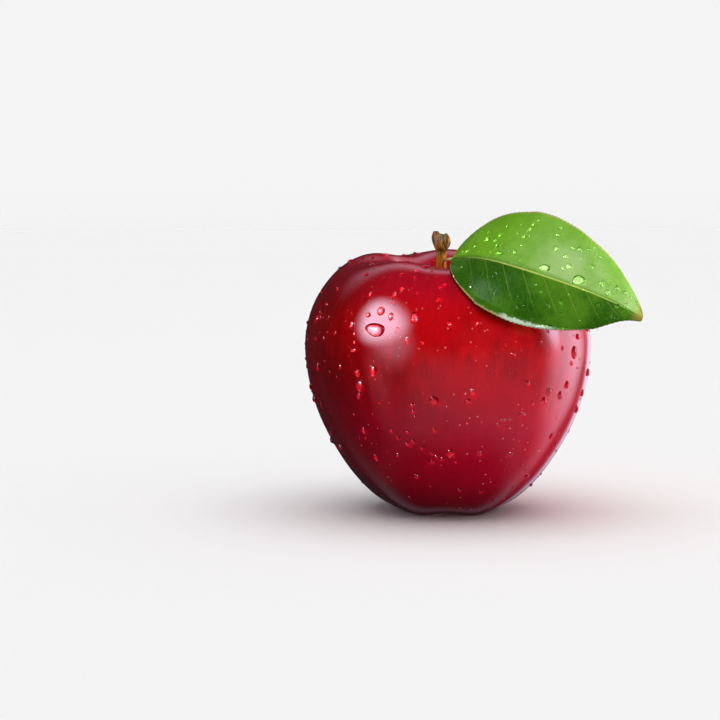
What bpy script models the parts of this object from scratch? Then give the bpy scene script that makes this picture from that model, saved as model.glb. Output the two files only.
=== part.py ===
"""A ripe apple with its stem, one leaf on its stalk, and the dried flower in its base.

Metres, +Z up. The pieces are made round the fruit's own axis and hang on one empty, which then moves
so that the middle of the whole footprint is the origin. The fruit's feet rest on Z = 0.
"""

import math

import bmesh
import bpy
from mathutils import Matrix, Vector
from mathutils.geometry import interpolate_bezier

CLEARANCE = 0.0003  # gap between pieces that grow on each other

# Fruit: a turned outline, swollen into lobes. Heights are above the feet before they are pressed flat.
FRUIT_RADIUS = 0.0400
FRUIT_HEIGHT = 0.0718
EQUATOR_HEIGHT = 0.0465
SHOULDER_RADIUS = 0.0208
CAVITY_DEPTH = 0.0142
CAVITY_THROAT = 0.0026  # how far the cavity floor flares out round the stem
FOOT_RADIUS = 0.0105
BASIN_DEPTH = 0.0080
FOOT_PRESS = 0.00025  # how much of each foot is pressed flat
FOOT_SPREAD = 0.0122  # this and the next three set how full the outline is
LOWER_FULLNESS = 0.0215
UPPER_FULLNESS = 0.0135
SHOULDER_SPREAD = 0.0085

LOBES = 5
LOBE_BEARING = math.radians(18)
WAIST_SWELL = 0.012  # lobes as a share of the radius there
BASE_SWELL = 0.024
SHOULDER_SWELL = 0.018
LOBE_REACH = 0.0065  # how far in and out from its ring a foot or a bump reaches
FOOT_ARCH = 0.0009  # rise between two feet
SHOULDER_DIP = 0.0014  # drop between two bumps of the shoulder
SHOULDER_SLOPE = 0.0006  # one side of the shoulder is this much lower
SLOPE_BEARING = math.radians(130)
OVALITY = 0.005
ROUND_CORE = 0.0045  # the fruit stays round this far out from the stem's socket

COLUMNS = 12 * LOBES
BASIN_RINGS = 8
BELLY_RINGS = 20
UPPER_RINGS = 13
CAVITY_RINGS = 11

# Stem: stands in a socket in the cavity floor, leans, and swells into a knob with a slanting end.
STEM_LENGTH = 0.0222
STEM_RADIUS = 0.00142
STEM_FOOT_RADIUS = 0.0016
STEM_SEAT = 0.0022
STEM_KNOB_RADIUS = 0.0023
STEM_KNOB_LENGTH = 0.0058
STEM_LEAN = 0.0019
STEM_LEAN_HEIGHT = 0.0125
STEM_END_SLOPE = 0.35
STEM_SIDES = 18

# Leaf blade: starts over the front of the shoulder and runs round the fruit's front to the right.
LEAF_LENGTH = 0.0600
LEAF_UPPER_WIDTH = 0.0172
LEAF_LOWER_WIDTH = 0.0142
LEAF_END_WIDTH = 0.0005
LEAF_THICKNESS = 0.0004
LEAF_SIDE_STEP = 0.0016  # the blade's base: to the right of the axis, in from the crest, above it
LEAF_SETBACK = 0.0018
LEAF_RISE = 0.0006
LEAF_STANDOFF = 0.0009  # least gap between blade and fruit
LEAF_SKEW = 0.80  # under 1 puts the widest place nearer the base
LEAF_FULLNESS = 0.70
UPPER_CURL = math.radians(-16)
LOWER_CURL = math.radians(26)
# Share of the length, then in degrees: heading, pitch, lean of the upper half, lean of the lower half.
LEAF_BENDS = (
    (0.00, -50, 10, -37, 136),
    (0.10, -46, 1, -38, 136),
    (0.30, -34, -11, -36, 147),
    (0.50, -12, -17, -31, 167),
    (0.70, 5, -21, -26, 179),
    (1.00, 23, -32, -22, 182),
)
LEAF_ALONG = 40
LEAF_ACROSS = 7

# Leaf stalk: from the stem's side, over the rim of the cavity, to the blade.
STALK_RADIUS = 0.0006
STALK_DROP = 0.0055  # it leaves the stem this far below the shoulder's crest
STALK_START_PITCH = math.radians(60)
STALK_START_PULL = 0.0070
STALK_END_PULL = 0.0050

# Dried flower: five sepals round a tuft of stamens, on the floor of the basin.
SEPALS = 5
SEPAL_LENGTH = 0.0050
SEPAL_HALF_WIDTH = 0.0013
SEPAL_END_WIDTH = 0.0002
SEPAL_THICKNESS = 0.0004
SEPAL_RING = 0.0026
SEPAL_FLARE = math.radians(38)
SEPAL_CURL = math.radians(-75)
SEPAL_ALONG = 8
SEPAL_ACROSS = 2
TUFT_RADIUS = 0.0008
TUFT_MOUTH_RADIUS = 0.0013
TUFT_LENGTH = 0.0030
TUFT_SIDES = 12


def clear_scene():
    for leftover in list(bpy.data.objects):
        bpy.data.objects.remove(leftover, do_unlink=True)


def principled(name, colour, roughness):
    material = bpy.data.materials.new(name)
    material.use_nodes = True
    shader = material.node_tree.nodes["Principled BSDF"]
    shader.inputs["Base Color"].default_value = (*colour, 1.0)
    shader.inputs["Roughness"].default_value = roughness
    shader.inputs["Metallic"].default_value = 0.0
    return material


def add_object(name, data, material, root):
    made = bpy.data.objects.new(name, data)
    data.materials.append(material)
    made.parent = root
    root.users_collection[0].objects.link(made)
    return made


def smooth_step(value):
    value = min(max(value, 0.0), 1.0)
    return value * value * (3.0 - 2.0 * value)


def bezier_run(start, start_handle, end_handle, end, count):
    """Count points from start up to, but not including, end. Each corner is (radius, height)."""
    corners = [Vector((radius, 0.0, height)) for radius, height in (start, start_handle, end_handle, end)]
    return interpolate_bezier(*corners, count + 1)[:-1]


def read_across(outline, known, wanted, value):
    """The wanted coordinate of an outline where its known coordinate first reaches the value."""
    for near, far in zip(outline, outline[1:]):
        if value <= far[known]:
            break
    blend = (value - near[known]) / (far[known] - near[known])
    return near[wanted] + blend * (far[wanted] - near[wanted])


def turned_mesh(name, outline, columns, shape):
    """A closed half outline turned about Z, each point then moved by shape()."""
    mesh = bpy.data.meshes.new(name)
    work = bmesh.new()
    corners = [work.verts.new(point) for point in outline]
    for low, high in zip(corners, corners[1:]):
        work.edges.new((low, high))
    bmesh.ops.spin(
        work, geom=work.verts[:] + work.edges[:], axis=(0, 0, 1), cent=(0, 0, 0),
        angle=2 * math.pi, steps=columns, use_merge=True,
    )
    bmesh.ops.remove_doubles(work, verts=work.verts, dist=1e-6)
    for corner in work.verts:
        corner.co = shape(corner.co)
    bmesh.ops.recalc_face_normals(work, faces=work.faces)
    work.to_mesh(mesh)
    work.free()
    mesh.shade_smooth()
    mesh.set_sharp_from_angle(angle=math.radians(50))
    return mesh


def sheet_mesh(name, rows):
    """A grid with its corners moved to rows[along][across]."""
    along, across = len(rows) - 1, len(rows[0]) - 1
    mesh = bpy.data.meshes.new(name)
    work = bmesh.new()
    bmesh.ops.create_grid(work, x_segments=along, y_segments=across, size=1.0)
    for corner in work.verts:
        row = round((corner.co.x + 1) / 2 * along)
        column = round((corner.co.y + 1) / 2 * across)
        corner.co = rows[row][column]
    work.to_mesh(mesh)
    work.free()
    mesh.shade_smooth()
    return mesh


def thicken(made, thickness, offset):
    solid = made.modifiers.new("thickness", "SOLIDIFY")
    solid.thickness = thickness
    solid.offset = offset


# Fruit


def crest_height():
    return FRUIT_HEIGHT - FOOT_PRESS


def cavity_floor():
    return crest_height() - CAVITY_DEPTH


def basin_outline():
    return bezier_run(
        (0.0, BASIN_DEPTH), (0.55 * FOOT_RADIUS, BASIN_DEPTH), (0.55 * FOOT_RADIUS, 0.0),
        (FOOT_RADIUS, 0.0), BASIN_RINGS,
    )


def fruit_outline():
    """From the middle of the basin, round the outside, to the bottom of the stem's socket."""
    foot = (FOOT_RADIUS, 0.0)
    waist = (FRUIT_RADIUS, EQUATOR_HEIGHT)
    crest = (SHOULDER_RADIUS, FRUIT_HEIGHT)
    mouth = (STEM_FOOT_RADIUS + CLEARANCE, FRUIT_HEIGHT - CAVITY_DEPTH)
    below_waist = (FRUIT_RADIUS, EQUATOR_HEIGHT - LOWER_FULLNESS)
    above_waist = (FRUIT_RADIUS, EQUATOR_HEIGHT + UPPER_FULLNESS)
    outline = basin_outline()
    outline += bezier_run(foot, (FOOT_RADIUS + FOOT_SPREAD, 0.0), below_waist, waist, BELLY_RINGS)
    outline += bezier_run(
        waist, above_waist, (SHOULDER_RADIUS + SHOULDER_SPREAD, FRUIT_HEIGHT), crest, UPPER_RINGS
    )
    outline += bezier_run(
        crest, (0.45 * SHOULDER_RADIUS, FRUIT_HEIGHT), (mouth[0] + CAVITY_THROAT, mouth[1]), mouth,
        CAVITY_RINGS,
    )
    outline.append(Vector((mouth[0], 0.0, mouth[1])))
    outline.append(Vector((mouth[0], 0.0, mouth[1] - STEM_SEAT)))
    outline.append(Vector((0.0, 0.0, mouth[1] - STEM_SEAT)))
    return outline


def near_ring(radius, ring):
    return math.exp(-(((radius - ring) / LOBE_REACH) ** 2))


def lobed(point):
    """A point of the turned fruit moved onto its lobes, its oval, its slope and its pressed feet."""
    radius = math.hypot(point.x, point.y)
    azimuth = math.atan2(point.y, point.x)
    share = point.z / FRUIT_HEIGHT
    lobe = math.cos(LOBES * (azimuth - LOBE_BEARING))
    valley = (1 - lobe) / 2
    base = max(0.0, 1 - share / 0.6) ** 1.5
    shoulder = max(0.0, (share - 0.6) / 0.4) ** 1.5
    swell = (WAIST_SWELL + BASE_SWELL * base + SHOULDER_SWELL * shoulder) * lobe
    swell += OVALITY * math.cos(2 * (azimuth - SLOPE_BEARING))
    swell *= smooth_step((radius - STEM_FOOT_RADIUS - CLEARANCE) / ROUND_CORE)
    height = point.z
    if share < 0.5:
        height += FOOT_ARCH * valley * near_ring(radius, FOOT_RADIUS)
    else:
        slope = (1 - math.cos(azimuth - SLOPE_BEARING)) / 2
        height -= (SHOULDER_DIP * valley + SHOULDER_SLOPE * slope) * near_ring(radius, SHOULDER_RADIUS)
    flat = radius * (1 + swell)
    pressed = max(height, FOOT_PRESS) - FOOT_PRESS
    return Vector((flat * math.cos(azimuth), flat * math.sin(azimuth), pressed))


def build_fruit(root):
    skin = principled("fruit_skin", (0.33, 0.010, 0.018), 0.22)
    return add_object("fruit", turned_mesh("fruit", fruit_outline(), COLUMNS, lobed), skin, root)


# Stem


def stem_outline():
    """From the middle of the foot, up the side, to the middle of the knob's end."""
    neck = STEM_LENGTH - STEM_KNOB_LENGTH
    seat = (STEM_FOOT_RADIUS, STEM_SEAT)
    waist = (STEM_RADIUS, 0.5 * neck)
    shank = (STEM_RADIUS, neck)
    knob = (STEM_KNOB_RADIUS, neck + 0.62 * STEM_KNOB_LENGTH)
    end = (0.0, STEM_LENGTH)
    outline = [Vector((0.0, 0.0, 0.0)), Vector((STEM_FOOT_RADIUS, 0.0, 0.0))]
    outline += bezier_run(seat, (STEM_FOOT_RADIUS, 0.2 * neck), (STEM_RADIUS, 0.3 * neck), waist, 5)
    outline += bezier_run(waist, (STEM_RADIUS, 0.6 * neck), (STEM_RADIUS, 0.8 * neck), shank, 4)
    outline += bezier_run(
        shank, (STEM_RADIUS, neck + 0.25 * STEM_KNOB_LENGTH),
        (STEM_KNOB_RADIUS, neck + 0.3 * STEM_KNOB_LENGTH), knob, 6,
    )
    outline += bezier_run(
        knob, (STEM_KNOB_RADIUS, STEM_LENGTH), (0.6 * STEM_KNOB_RADIUS, STEM_LENGTH), end, 6
    )
    outline.append(Vector((0.0, 0.0, STEM_LENGTH)))
    return outline


def stem_foot():
    return Vector((0.0, 0.0, cavity_floor() - STEM_SEAT + CLEARANCE))


def stem_lean(height):
    return -STEM_LEAN * smooth_step((height - STEM_SEAT) / STEM_LEAN_HEIGHT)


def stem_radius(height):
    return read_across(stem_outline()[1:], 2, 0, height)


def leaned(point):
    """A point of the turned stem moved to its lean, with the knob's end sloping down to the right."""
    knob = smooth_step((point.z - (STEM_LENGTH - STEM_KNOB_LENGTH)) / STEM_KNOB_LENGTH)
    return Vector((point.x + stem_lean(point.z), point.y, point.z - STEM_END_SLOPE * knob * point.x))


def build_stem(root):
    wood = principled("stem_wood", (0.23, 0.105, 0.020), 0.65)
    stem = add_object("stem", turned_mesh("stem", stem_outline(), STEM_SIDES, leaned), wood, root)
    stem.location = stem_foot()


# Leaf


def leaf_base():
    return Vector((LEAF_SIDE_STEP, LEAF_SETBACK - SHOULDER_RADIUS, crest_height() + LEAF_RISE))


def leaf_bend(share):
    """Heading, pitch, upper lean and lower lean at a share of the blade's length, in radians."""
    for start, end in zip(LEAF_BENDS, LEAF_BENDS[1:]):
        if share <= end[0]:
            break
    blend = (share - start[0]) / (end[0] - start[0])
    return [math.radians(low + blend * (high - low)) for low, high in zip(start[1:], end[1:])]


def direction(heading, pitch):
    return Vector(
        (math.cos(pitch) * math.cos(heading), math.cos(pitch) * math.sin(heading), math.sin(pitch))
    )


def blade_width(share, width):
    return LEAF_END_WIDTH + width * math.sin(math.pi * share**LEAF_SKEW) ** LEAF_FULLNESS


def half_blade(middle, upright, outward, lean, curl, width):
    """Points from the midrib out to one edge, on an arc that turns by curl."""
    points = []
    place = middle.copy()
    for step in range(LEAF_ACROSS):
        angle = lean + curl * ((step + 0.5) / LEAF_ACROSS - 0.5)
        place = place + (upright * math.cos(angle) + outward * math.sin(angle)) * (width / LEAF_ACROSS)
        points.append(place)
    return points


def leaf_rows():
    """One row of points for each station of the midrib, from the lower edge to the upper edge."""
    rows = []
    middle = Vector((0.0, 0.0, 0.0))
    for station in range(LEAF_ALONG + 1):
        share = station / LEAF_ALONG
        heading, pitch, upper_lean, lower_lean = leaf_bend(share)
        along = direction(heading, pitch)
        upright = direction(heading, pitch + math.pi / 2)
        outward = along.cross(upright)
        upper_width = blade_width(share, LEAF_UPPER_WIDTH)
        lower_width = blade_width(share, LEAF_LOWER_WIDTH)
        upper = half_blade(middle, upright, outward, upper_lean, UPPER_CURL, upper_width)
        lower = half_blade(middle, upright, outward, lower_lean, LOWER_CURL, lower_width)
        rows.append(lower[::-1] + [middle] + upper)
        middle = middle + along * (LEAF_LENGTH / LEAF_ALONG)
    return rows


def build_leaf_blade(root, fruit):
    green = principled("leaf_green", (0.050, 0.190, 0.010), 0.35)
    blade = add_object("leaf_blade", sheet_mesh("leaf_blade", leaf_rows()), green, root)
    blade.location = leaf_base()
    clear = blade.modifiers.new("clear_of_fruit", "SHRINKWRAP")
    clear.target = fruit
    clear.wrap_mode = "OUTSIDE"
    clear.offset = LEAF_STANDOFF
    thicken(blade, LEAF_THICKNESS, 1.0)


def build_leaf_stalk(root):
    """A tapering tube from the stem's side to just short of the blade."""
    joint_height = crest_height() - STALK_DROP - stem_foot().z
    reach = stem_radius(joint_height) + CLEARANCE + STALK_RADIUS
    start = stem_foot() + Vector((stem_lean(joint_height), -reach, joint_height))
    blade_start = direction(*leaf_bend(0.0)[:2])
    end = leaf_base() - blade_start * (2 * CLEARANCE)
    curve = bpy.data.curves.new("leaf_stalk", "CURVE")
    curve.dimensions = "3D"
    curve.resolution_u = 14
    curve.bevel_depth = STALK_RADIUS
    curve.bevel_resolution = 3
    curve.use_fill_caps = True
    spline = curve.splines.new("BEZIER")
    spline.bezier_points.add(1)
    first, last = spline.bezier_points
    first.co = start
    first.handle_right = start + direction(-math.pi / 2, STALK_START_PITCH) * STALK_START_PULL
    first.handle_left = start
    last.co = end
    last.handle_left = end - blade_start * STALK_END_PULL
    last.handle_right = end
    add_object("leaf_stalk", curve, principled("leaf_stalk", (0.36, 0.42, 0.06), 0.45), root)


# Dried flower


def basin_height(radius):
    """Height of the basin's floor at a radius, over the resting plane."""
    outline = basin_outline() + [Vector((FOOT_RADIUS, 0.0, 0.0))]
    return read_across(outline, 0, 2, radius) - FOOT_PRESS


def sepal_rows():
    """A pointed sheet that hangs from the origin, flaring outwards along +X and curling back in."""
    rows = []
    place = Vector((0.0, 0.0, 0.0))
    for station in range(SEPAL_ALONG + 1):
        share = station / SEPAL_ALONG
        width = SEPAL_END_WIDTH + SEPAL_HALF_WIDTH * (1 - share) ** 0.6
        sides = [width * side / SEPAL_ACROSS for side in range(-SEPAL_ACROSS, SEPAL_ACROSS + 1)]
        rows.append([place + Vector((0.0, side, 0.0)) for side in sides])
        angle = SEPAL_FLARE + SEPAL_CURL * share
        place = place + Vector((math.sin(angle), 0.0, -math.cos(angle))) * (SEPAL_LENGTH / SEPAL_ALONG)
    return rows


def build_sepals(root):
    dry = principled("sepal_dry", (0.105, 0.070, 0.035), 0.85)
    mesh = sheet_mesh("sepal", sepal_rows())
    mesh.materials.append(dry)
    corner = math.hypot(SEPAL_RING + SEPAL_THICKNESS, SEPAL_HALF_WIDTH + SEPAL_END_WIDTH)
    height = basin_height(corner) - CLEARANCE - SEPAL_THICKNESS / 2
    for number in range(1, SEPALS + 1):
        bearing = LOBE_BEARING + 2 * math.pi * number / SEPALS
        sepal = bpy.data.objects.new(f"sepal_{number}", mesh)
        root.users_collection[0].objects.link(sepal)
        sepal.parent = root
        sepal.rotation_euler.z = bearing
        sepal.location = Matrix.Rotation(bearing, 3, "Z") @ Vector((SEPAL_RING, 0.0, height))
        thicken(sepal, SEPAL_THICKNESS, 0.0)


def build_stamen_tuft(root):
    dry = principled("tuft_dry", (0.055, 0.038, 0.022), 0.90)
    outline = [
        Vector((radius, 0.0, height))
        for radius, height in (
            (0.0, -TUFT_LENGTH), (TUFT_MOUTH_RADIUS, -TUFT_LENGTH), (TUFT_RADIUS, 0.0), (0.0, 0.0)
        )
    ]
    tuft = add_object("stamen_tuft", turned_mesh("stamen_tuft", outline, TUFT_SIDES, Vector), dry, root)
    tuft.location.z = basin_height(TUFT_RADIUS) - CLEARANCE


def centre_footprint(root):
    """Moves the empty so that the middle of the whole apple's box stands over the origin."""
    bpy.context.view_layer.update()
    graph = bpy.context.evaluated_depsgraph_get()
    corners = [
        made.matrix_world @ Vector(corner)
        for made in root.children
        if made.type == "MESH"
        for corner in made.evaluated_get(graph).bound_box
    ]
    root.location.x = -(min(corner.x for corner in corners) + max(corner.x for corner in corners)) / 2
    root.location.y = -(min(corner.y for corner in corners) + max(corner.y for corner in corners)) / 2


def main():
    clear_scene()
    collection = bpy.data.collections.new("apple")
    bpy.context.scene.collection.children.link(collection)
    root = bpy.data.objects.new("apple", None)
    collection.objects.link(root)
    fruit = build_fruit(root)
    build_stem(root)
    build_leaf_blade(root, fruit)
    build_leaf_stalk(root)
    build_sepals(root)
    build_stamen_tuft(root)
    centre_footprint(root)


main()
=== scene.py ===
"""A ripe apple with its stem, one leaf and the water beads on both, on a plain pale stage.

Metres, +Z up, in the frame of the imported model. Each operator makes one piece or one group of like
pieces. The fruit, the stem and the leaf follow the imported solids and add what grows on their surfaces.
"""

import math
import random

import bmesh
import bpy
from bpy.props import FloatProperty, FloatVectorProperty, IntProperty, PointerProperty
from mathutils import Matrix, Vector, noise
from mathutils.bvhtree import BVHTree
from mathutils.geometry import interpolate_bezier


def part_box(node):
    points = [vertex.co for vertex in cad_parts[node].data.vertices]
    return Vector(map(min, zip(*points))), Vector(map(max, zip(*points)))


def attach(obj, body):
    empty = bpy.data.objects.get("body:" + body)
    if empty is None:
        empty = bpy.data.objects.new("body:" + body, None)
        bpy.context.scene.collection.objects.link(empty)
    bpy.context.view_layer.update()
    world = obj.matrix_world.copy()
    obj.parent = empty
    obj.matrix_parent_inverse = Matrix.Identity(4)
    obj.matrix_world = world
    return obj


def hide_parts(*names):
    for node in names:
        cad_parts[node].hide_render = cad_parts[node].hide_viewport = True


bl_info = {
    "name": "Apple With Leaf",
    "version": (1, 0, 0),
    "blender": (4, 5, 0),
    "location": "3D View > Sidebar > Apple",
    "description": "Models a ripe apple with a stem, a leaf and water beads",
    "category": "Add Mesh",
}

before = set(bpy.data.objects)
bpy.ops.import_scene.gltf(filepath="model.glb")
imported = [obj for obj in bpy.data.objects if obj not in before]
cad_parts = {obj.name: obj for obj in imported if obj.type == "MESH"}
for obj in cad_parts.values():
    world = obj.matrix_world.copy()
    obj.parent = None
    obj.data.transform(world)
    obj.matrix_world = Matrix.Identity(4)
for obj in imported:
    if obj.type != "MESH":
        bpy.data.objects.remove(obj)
SEPALS = [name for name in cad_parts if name.startswith("sepal_")]
TUFT_LOW, TUFT_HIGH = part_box("stamen_tuft")
AXIS = Vector(((TUFT_LOW.x + TUFT_HIGH.x) / 2, (TUFT_LOW.y + TUFT_HIGH.y) / 2, 0.0))
FRONT = -math.pi / 2
CLEARANCE = 0.0003
# Faces are put in order along this slanted line, on which no two of them share a place.
FACE_ORDER = Vector((1.0, 17.0, 291.0))


# Sizes and colours


def length(name, description, default):
    return FloatProperty(
        name=name, description=description, default=default, unit="LENGTH", subtype="DISTANCE",
        precision=5,
    )


def angle(name, description, degrees):
    return FloatProperty(
        name=name, description=description, default=math.radians(degrees), unit="ROTATION",
        subtype="ANGLE",
    )


def share(name, description, default):
    return FloatProperty(name=name, description=description, default=default)


def colour(name, description, default):
    return FloatVectorProperty(
        name=name, description=description, default=default, subtype="COLOR", min=0.0, max=1.0, size=3
    )


def count(name, description, default):
    return IntProperty(name=name, description=description, default=default, min=1)


class AppleFruitSettings(bpy.types.PropertyGroup):
    """Sizes and colours of the fruit."""

    radius: length("Radius", "Widest radius, before the lobes", 0.0400)
    height: length("Height", "Height before the feet are pressed flat", 0.0718)
    equator: length("Equator", "Height of the widest place", 0.0465)
    shoulder_radius: length("Shoulder radius", "Radius of the crest round the cavity", 0.0208)
    cavity_depth: length("Cavity depth", "From the crest to the floor round the stem", 0.0142)
    foot_radius: length("Foot radius", "Radius of the ring that the fruit rests on", 0.0105)
    basin_depth: length("Basin depth", "Depth of the basin under the fruit", 0.0080)
    foot_press: length("Foot press", "How much of each foot is pressed flat", 0.00025)
    lobes: count("Lobes", "Number of lobes", 5)
    lobe_bearing: angle("Lobe bearing", "Bearing of the first lobe", 18)
    ripple: length("Ripple", "Height of the skin's uneven swell", 0.00016)
    columns: count("Columns", "Steps round the fruit", 240)
    # The skin at the very foot is darkened with painted shade, as if in the fruit's own shadow on the
    # floor.
    foot_shade: colour("Dusky", "Skin at the very foot", (0.060, 0.0010, 0.0060))
    # Lower red is a painted reflection: the cool surround mirrored in the lower half and on the shoulder.
    reflection_red: colour("Lower red", "Cooler red of the lower half", (0.550, 0.0035, 0.0360))
    deep_red: colour("Deep red", "Darkest skin", (0.290, 0.0005, 0.0026))
    mid_red: colour("Mid red", "Most of the skin", (0.530, 0.0006, 0.0034))
    bright_red: colour("Bright red", "Lightest streaks", (0.680, 0.0014, 0.0048))
    russet: colour("Russet", "Rough brown skin in the cavity", (0.300, 0.150, 0.045))
    green: colour("Green", "Unripe skin beside the stem and the dried flower", (0.340, 0.260, 0.035))
    lenticel: colour("Lenticel", "Pale specks in the skin", (0.780, 0.300, 0.240))


class AppleStemSettings(bpy.types.PropertyGroup):
    """Sizes and colours of the stem and the leaf stalk."""

    length: length("Length", "From the foot to the end of the knob", 0.0222)
    radius: length("Radius", "Radius of the shank", 0.00142)
    foot_radius: length("Foot radius", "Radius in the socket", 0.0016)
    seat: length("Seat", "Depth of the socket", 0.0022)
    knob_radius: length("Knob radius", "Radius of the knob at the cut end", 0.0023)
    knob_length: length("Knob length", "Length of the knob", 0.0058)
    lean: length("Lean", "How far the knob leans to the left", 0.0019)
    stalk_radius: length("Stalk radius", "Radius of the leaf stalk at its middle", 0.00042)
    wood: colour("Wood", "Middle of the shank", (0.560, 0.225, 0.006))
    bark: colour("Bark", "Dark bark on the knob and the edges", (0.075, 0.036, 0.010))
    grey: colour("Grey", "Weathered ridges on the knob", (0.300, 0.210, 0.120))
    blush: colour("Blush", "Red flush at the foot", (0.290, 0.040, 0.010))
    stalk_pale: colour("Pale stalk", "Stalk near the blade", (0.480, 0.470, 0.130))
    stalk_pink: colour("Pink stalk", "Stalk near the stem", (0.520, 0.200, 0.140))


class AppleLeafSettings(bpy.types.PropertyGroup):
    """Sizes and colours of the leaf."""

    length: length("Length", "Length along the midrib", 0.0600)
    upper_width: length("Upper width", "Width of the half above the midrib", 0.0172)
    lower_width: length("Lower width", "Width of the half below the midrib", 0.0142)
    end_width: length("End width", "Width of each half at its two ends", 0.0005)
    thickness: length("Thickness", "Thickness of the blade", 0.0004)
    standoff: length("Standoff", "Least gap to the fruit", 0.0009)
    along: count("Stations", "Rows of faces along the blade", 260)
    across: count("Columns", "Columns of faces across each half", 30)
    vein_pairs: count("Vein pairs", "Side veins on each half", 9)
    teeth: count("Teeth", "Teeth along each edge", 54)
    tooth: length("Tooth", "Depth of a tooth", 0.00028)
    rib_depth: length("Rib depth", "Depth of the groove over the midrib", 0.00030)
    vein_depth: length("Vein depth", "Depth of the furrow over a side vein", 0.00005)
    # Dark green also serves as painted shade on the lower half, and fresh green as painted light on the
    # upper half.
    dark: colour("Dark green", "Between the veins", (0.019, 0.100, 0.0015))
    fresh_and_lit: colour("Fresh green", "Lighter patches", (0.200, 0.500, 0.022))
    pale: colour("Pale green", "Midrib and side veins", (0.430, 0.560, 0.110))
    rim: colour("Rim", "Thin dry edge", (0.520, 0.420, 0.170))
    # The water along the lower edge is painted pale as a highlight.
    film_gleam: colour("Film", "Water along the lower edge", (0.600, 0.740, 0.560))
    # Painted sheen: the pale reflection over the upper half.
    milky_sheen: colour("Milky", "Bloom on the upper half", (0.370, 0.570, 0.200))
    tip: colour("Tip", "Drying tip", (0.330, 0.250, 0.040))


class AppleFlowerSettings(bpy.types.PropertyGroup):
    """Sizes and colours of the dried flower in the basin."""

    sepal_length: length("Sepal length", "Length of a sepal", 0.0050)
    sepal_half_width: length("Sepal half width", "Half the width of a sepal at its foot", 0.0015)
    sepal_thickness: length("Sepal thickness", "Thickness of a sepal", 0.00028)
    stamens: count("Stamens", "Number of dried stamens", 16)
    stamen_radius: length("Stamen radius", "Radius of one stamen", 0.00011)
    dry: colour("Dry", "Dried sepals", (0.120, 0.075, 0.035))
    woolly: colour("Woolly", "Pale down on the sepals", (0.330, 0.270, 0.170))


class AppleBeadSettings(bpy.types.PropertyGroup):
    """Sizes and numbers of the water beads."""

    fruit_beads: count("Fruit beads", "Scattered beads tried on the fruit", 620)
    leaf_beads: count("Leaf beads", "Scattered beads tried on the leaf", 120)
    smallest: length("Smallest", "Radius of the smallest bead", 0.00020)
    largest: length("Largest", "Radius of the largest scattered bead", 0.00100)
    height: share("Height", "Height of a small bead as a share of its radius", 0.88)
    seed: count("Seed", "Changes where the beads fall", 7)
    clear: colour("Clear", "Water in the middle of a bead", (0.990, 0.970, 0.975))
    # The bead outlines are painted shade in the water's colour.
    on_fruit: colour("Outline on the fruit", "Rim of a bead on the skin", (0.240, 0.012, 0.030))
    on_leaf: colour("Outline on the leaf", "Rim of a bead on the blade", (0.100, 0.200, 0.040))


class AppleStageSettings(bpy.types.PropertyGroup):
    """The pale floor, the lights and the camera."""

    floor_radius: length("Floor radius", "Radius of the round floor", 3.0)
    floor: colour("Floor", "Plain pale floor", (0.860, 0.860, 0.860))
    surround: colour("Surround", "What the camera sees past the floor", (0.913, 0.913, 0.913))
    distance: length("Camera distance", "From the fruit's middle to the camera", 0.900)
    fill: share("Fill", "Even light from all round", 0.50)
    elevation: angle("Camera elevation", "Camera's angle above the horizon", 7)
    lens: share("Lens", "Focal length in millimetres on a 36 mm sensor", 160.7)
    aim_left: length("Aim left", "The camera looks this far left of the fruit's axis", 0.02456)
    aim_up: length("Aim up", "The camera looks this far above the fruit's middle", 0.00605)
    middle: length("Middle", "Height of the fruit's middle", 0.036)


# Wiring materials


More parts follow.
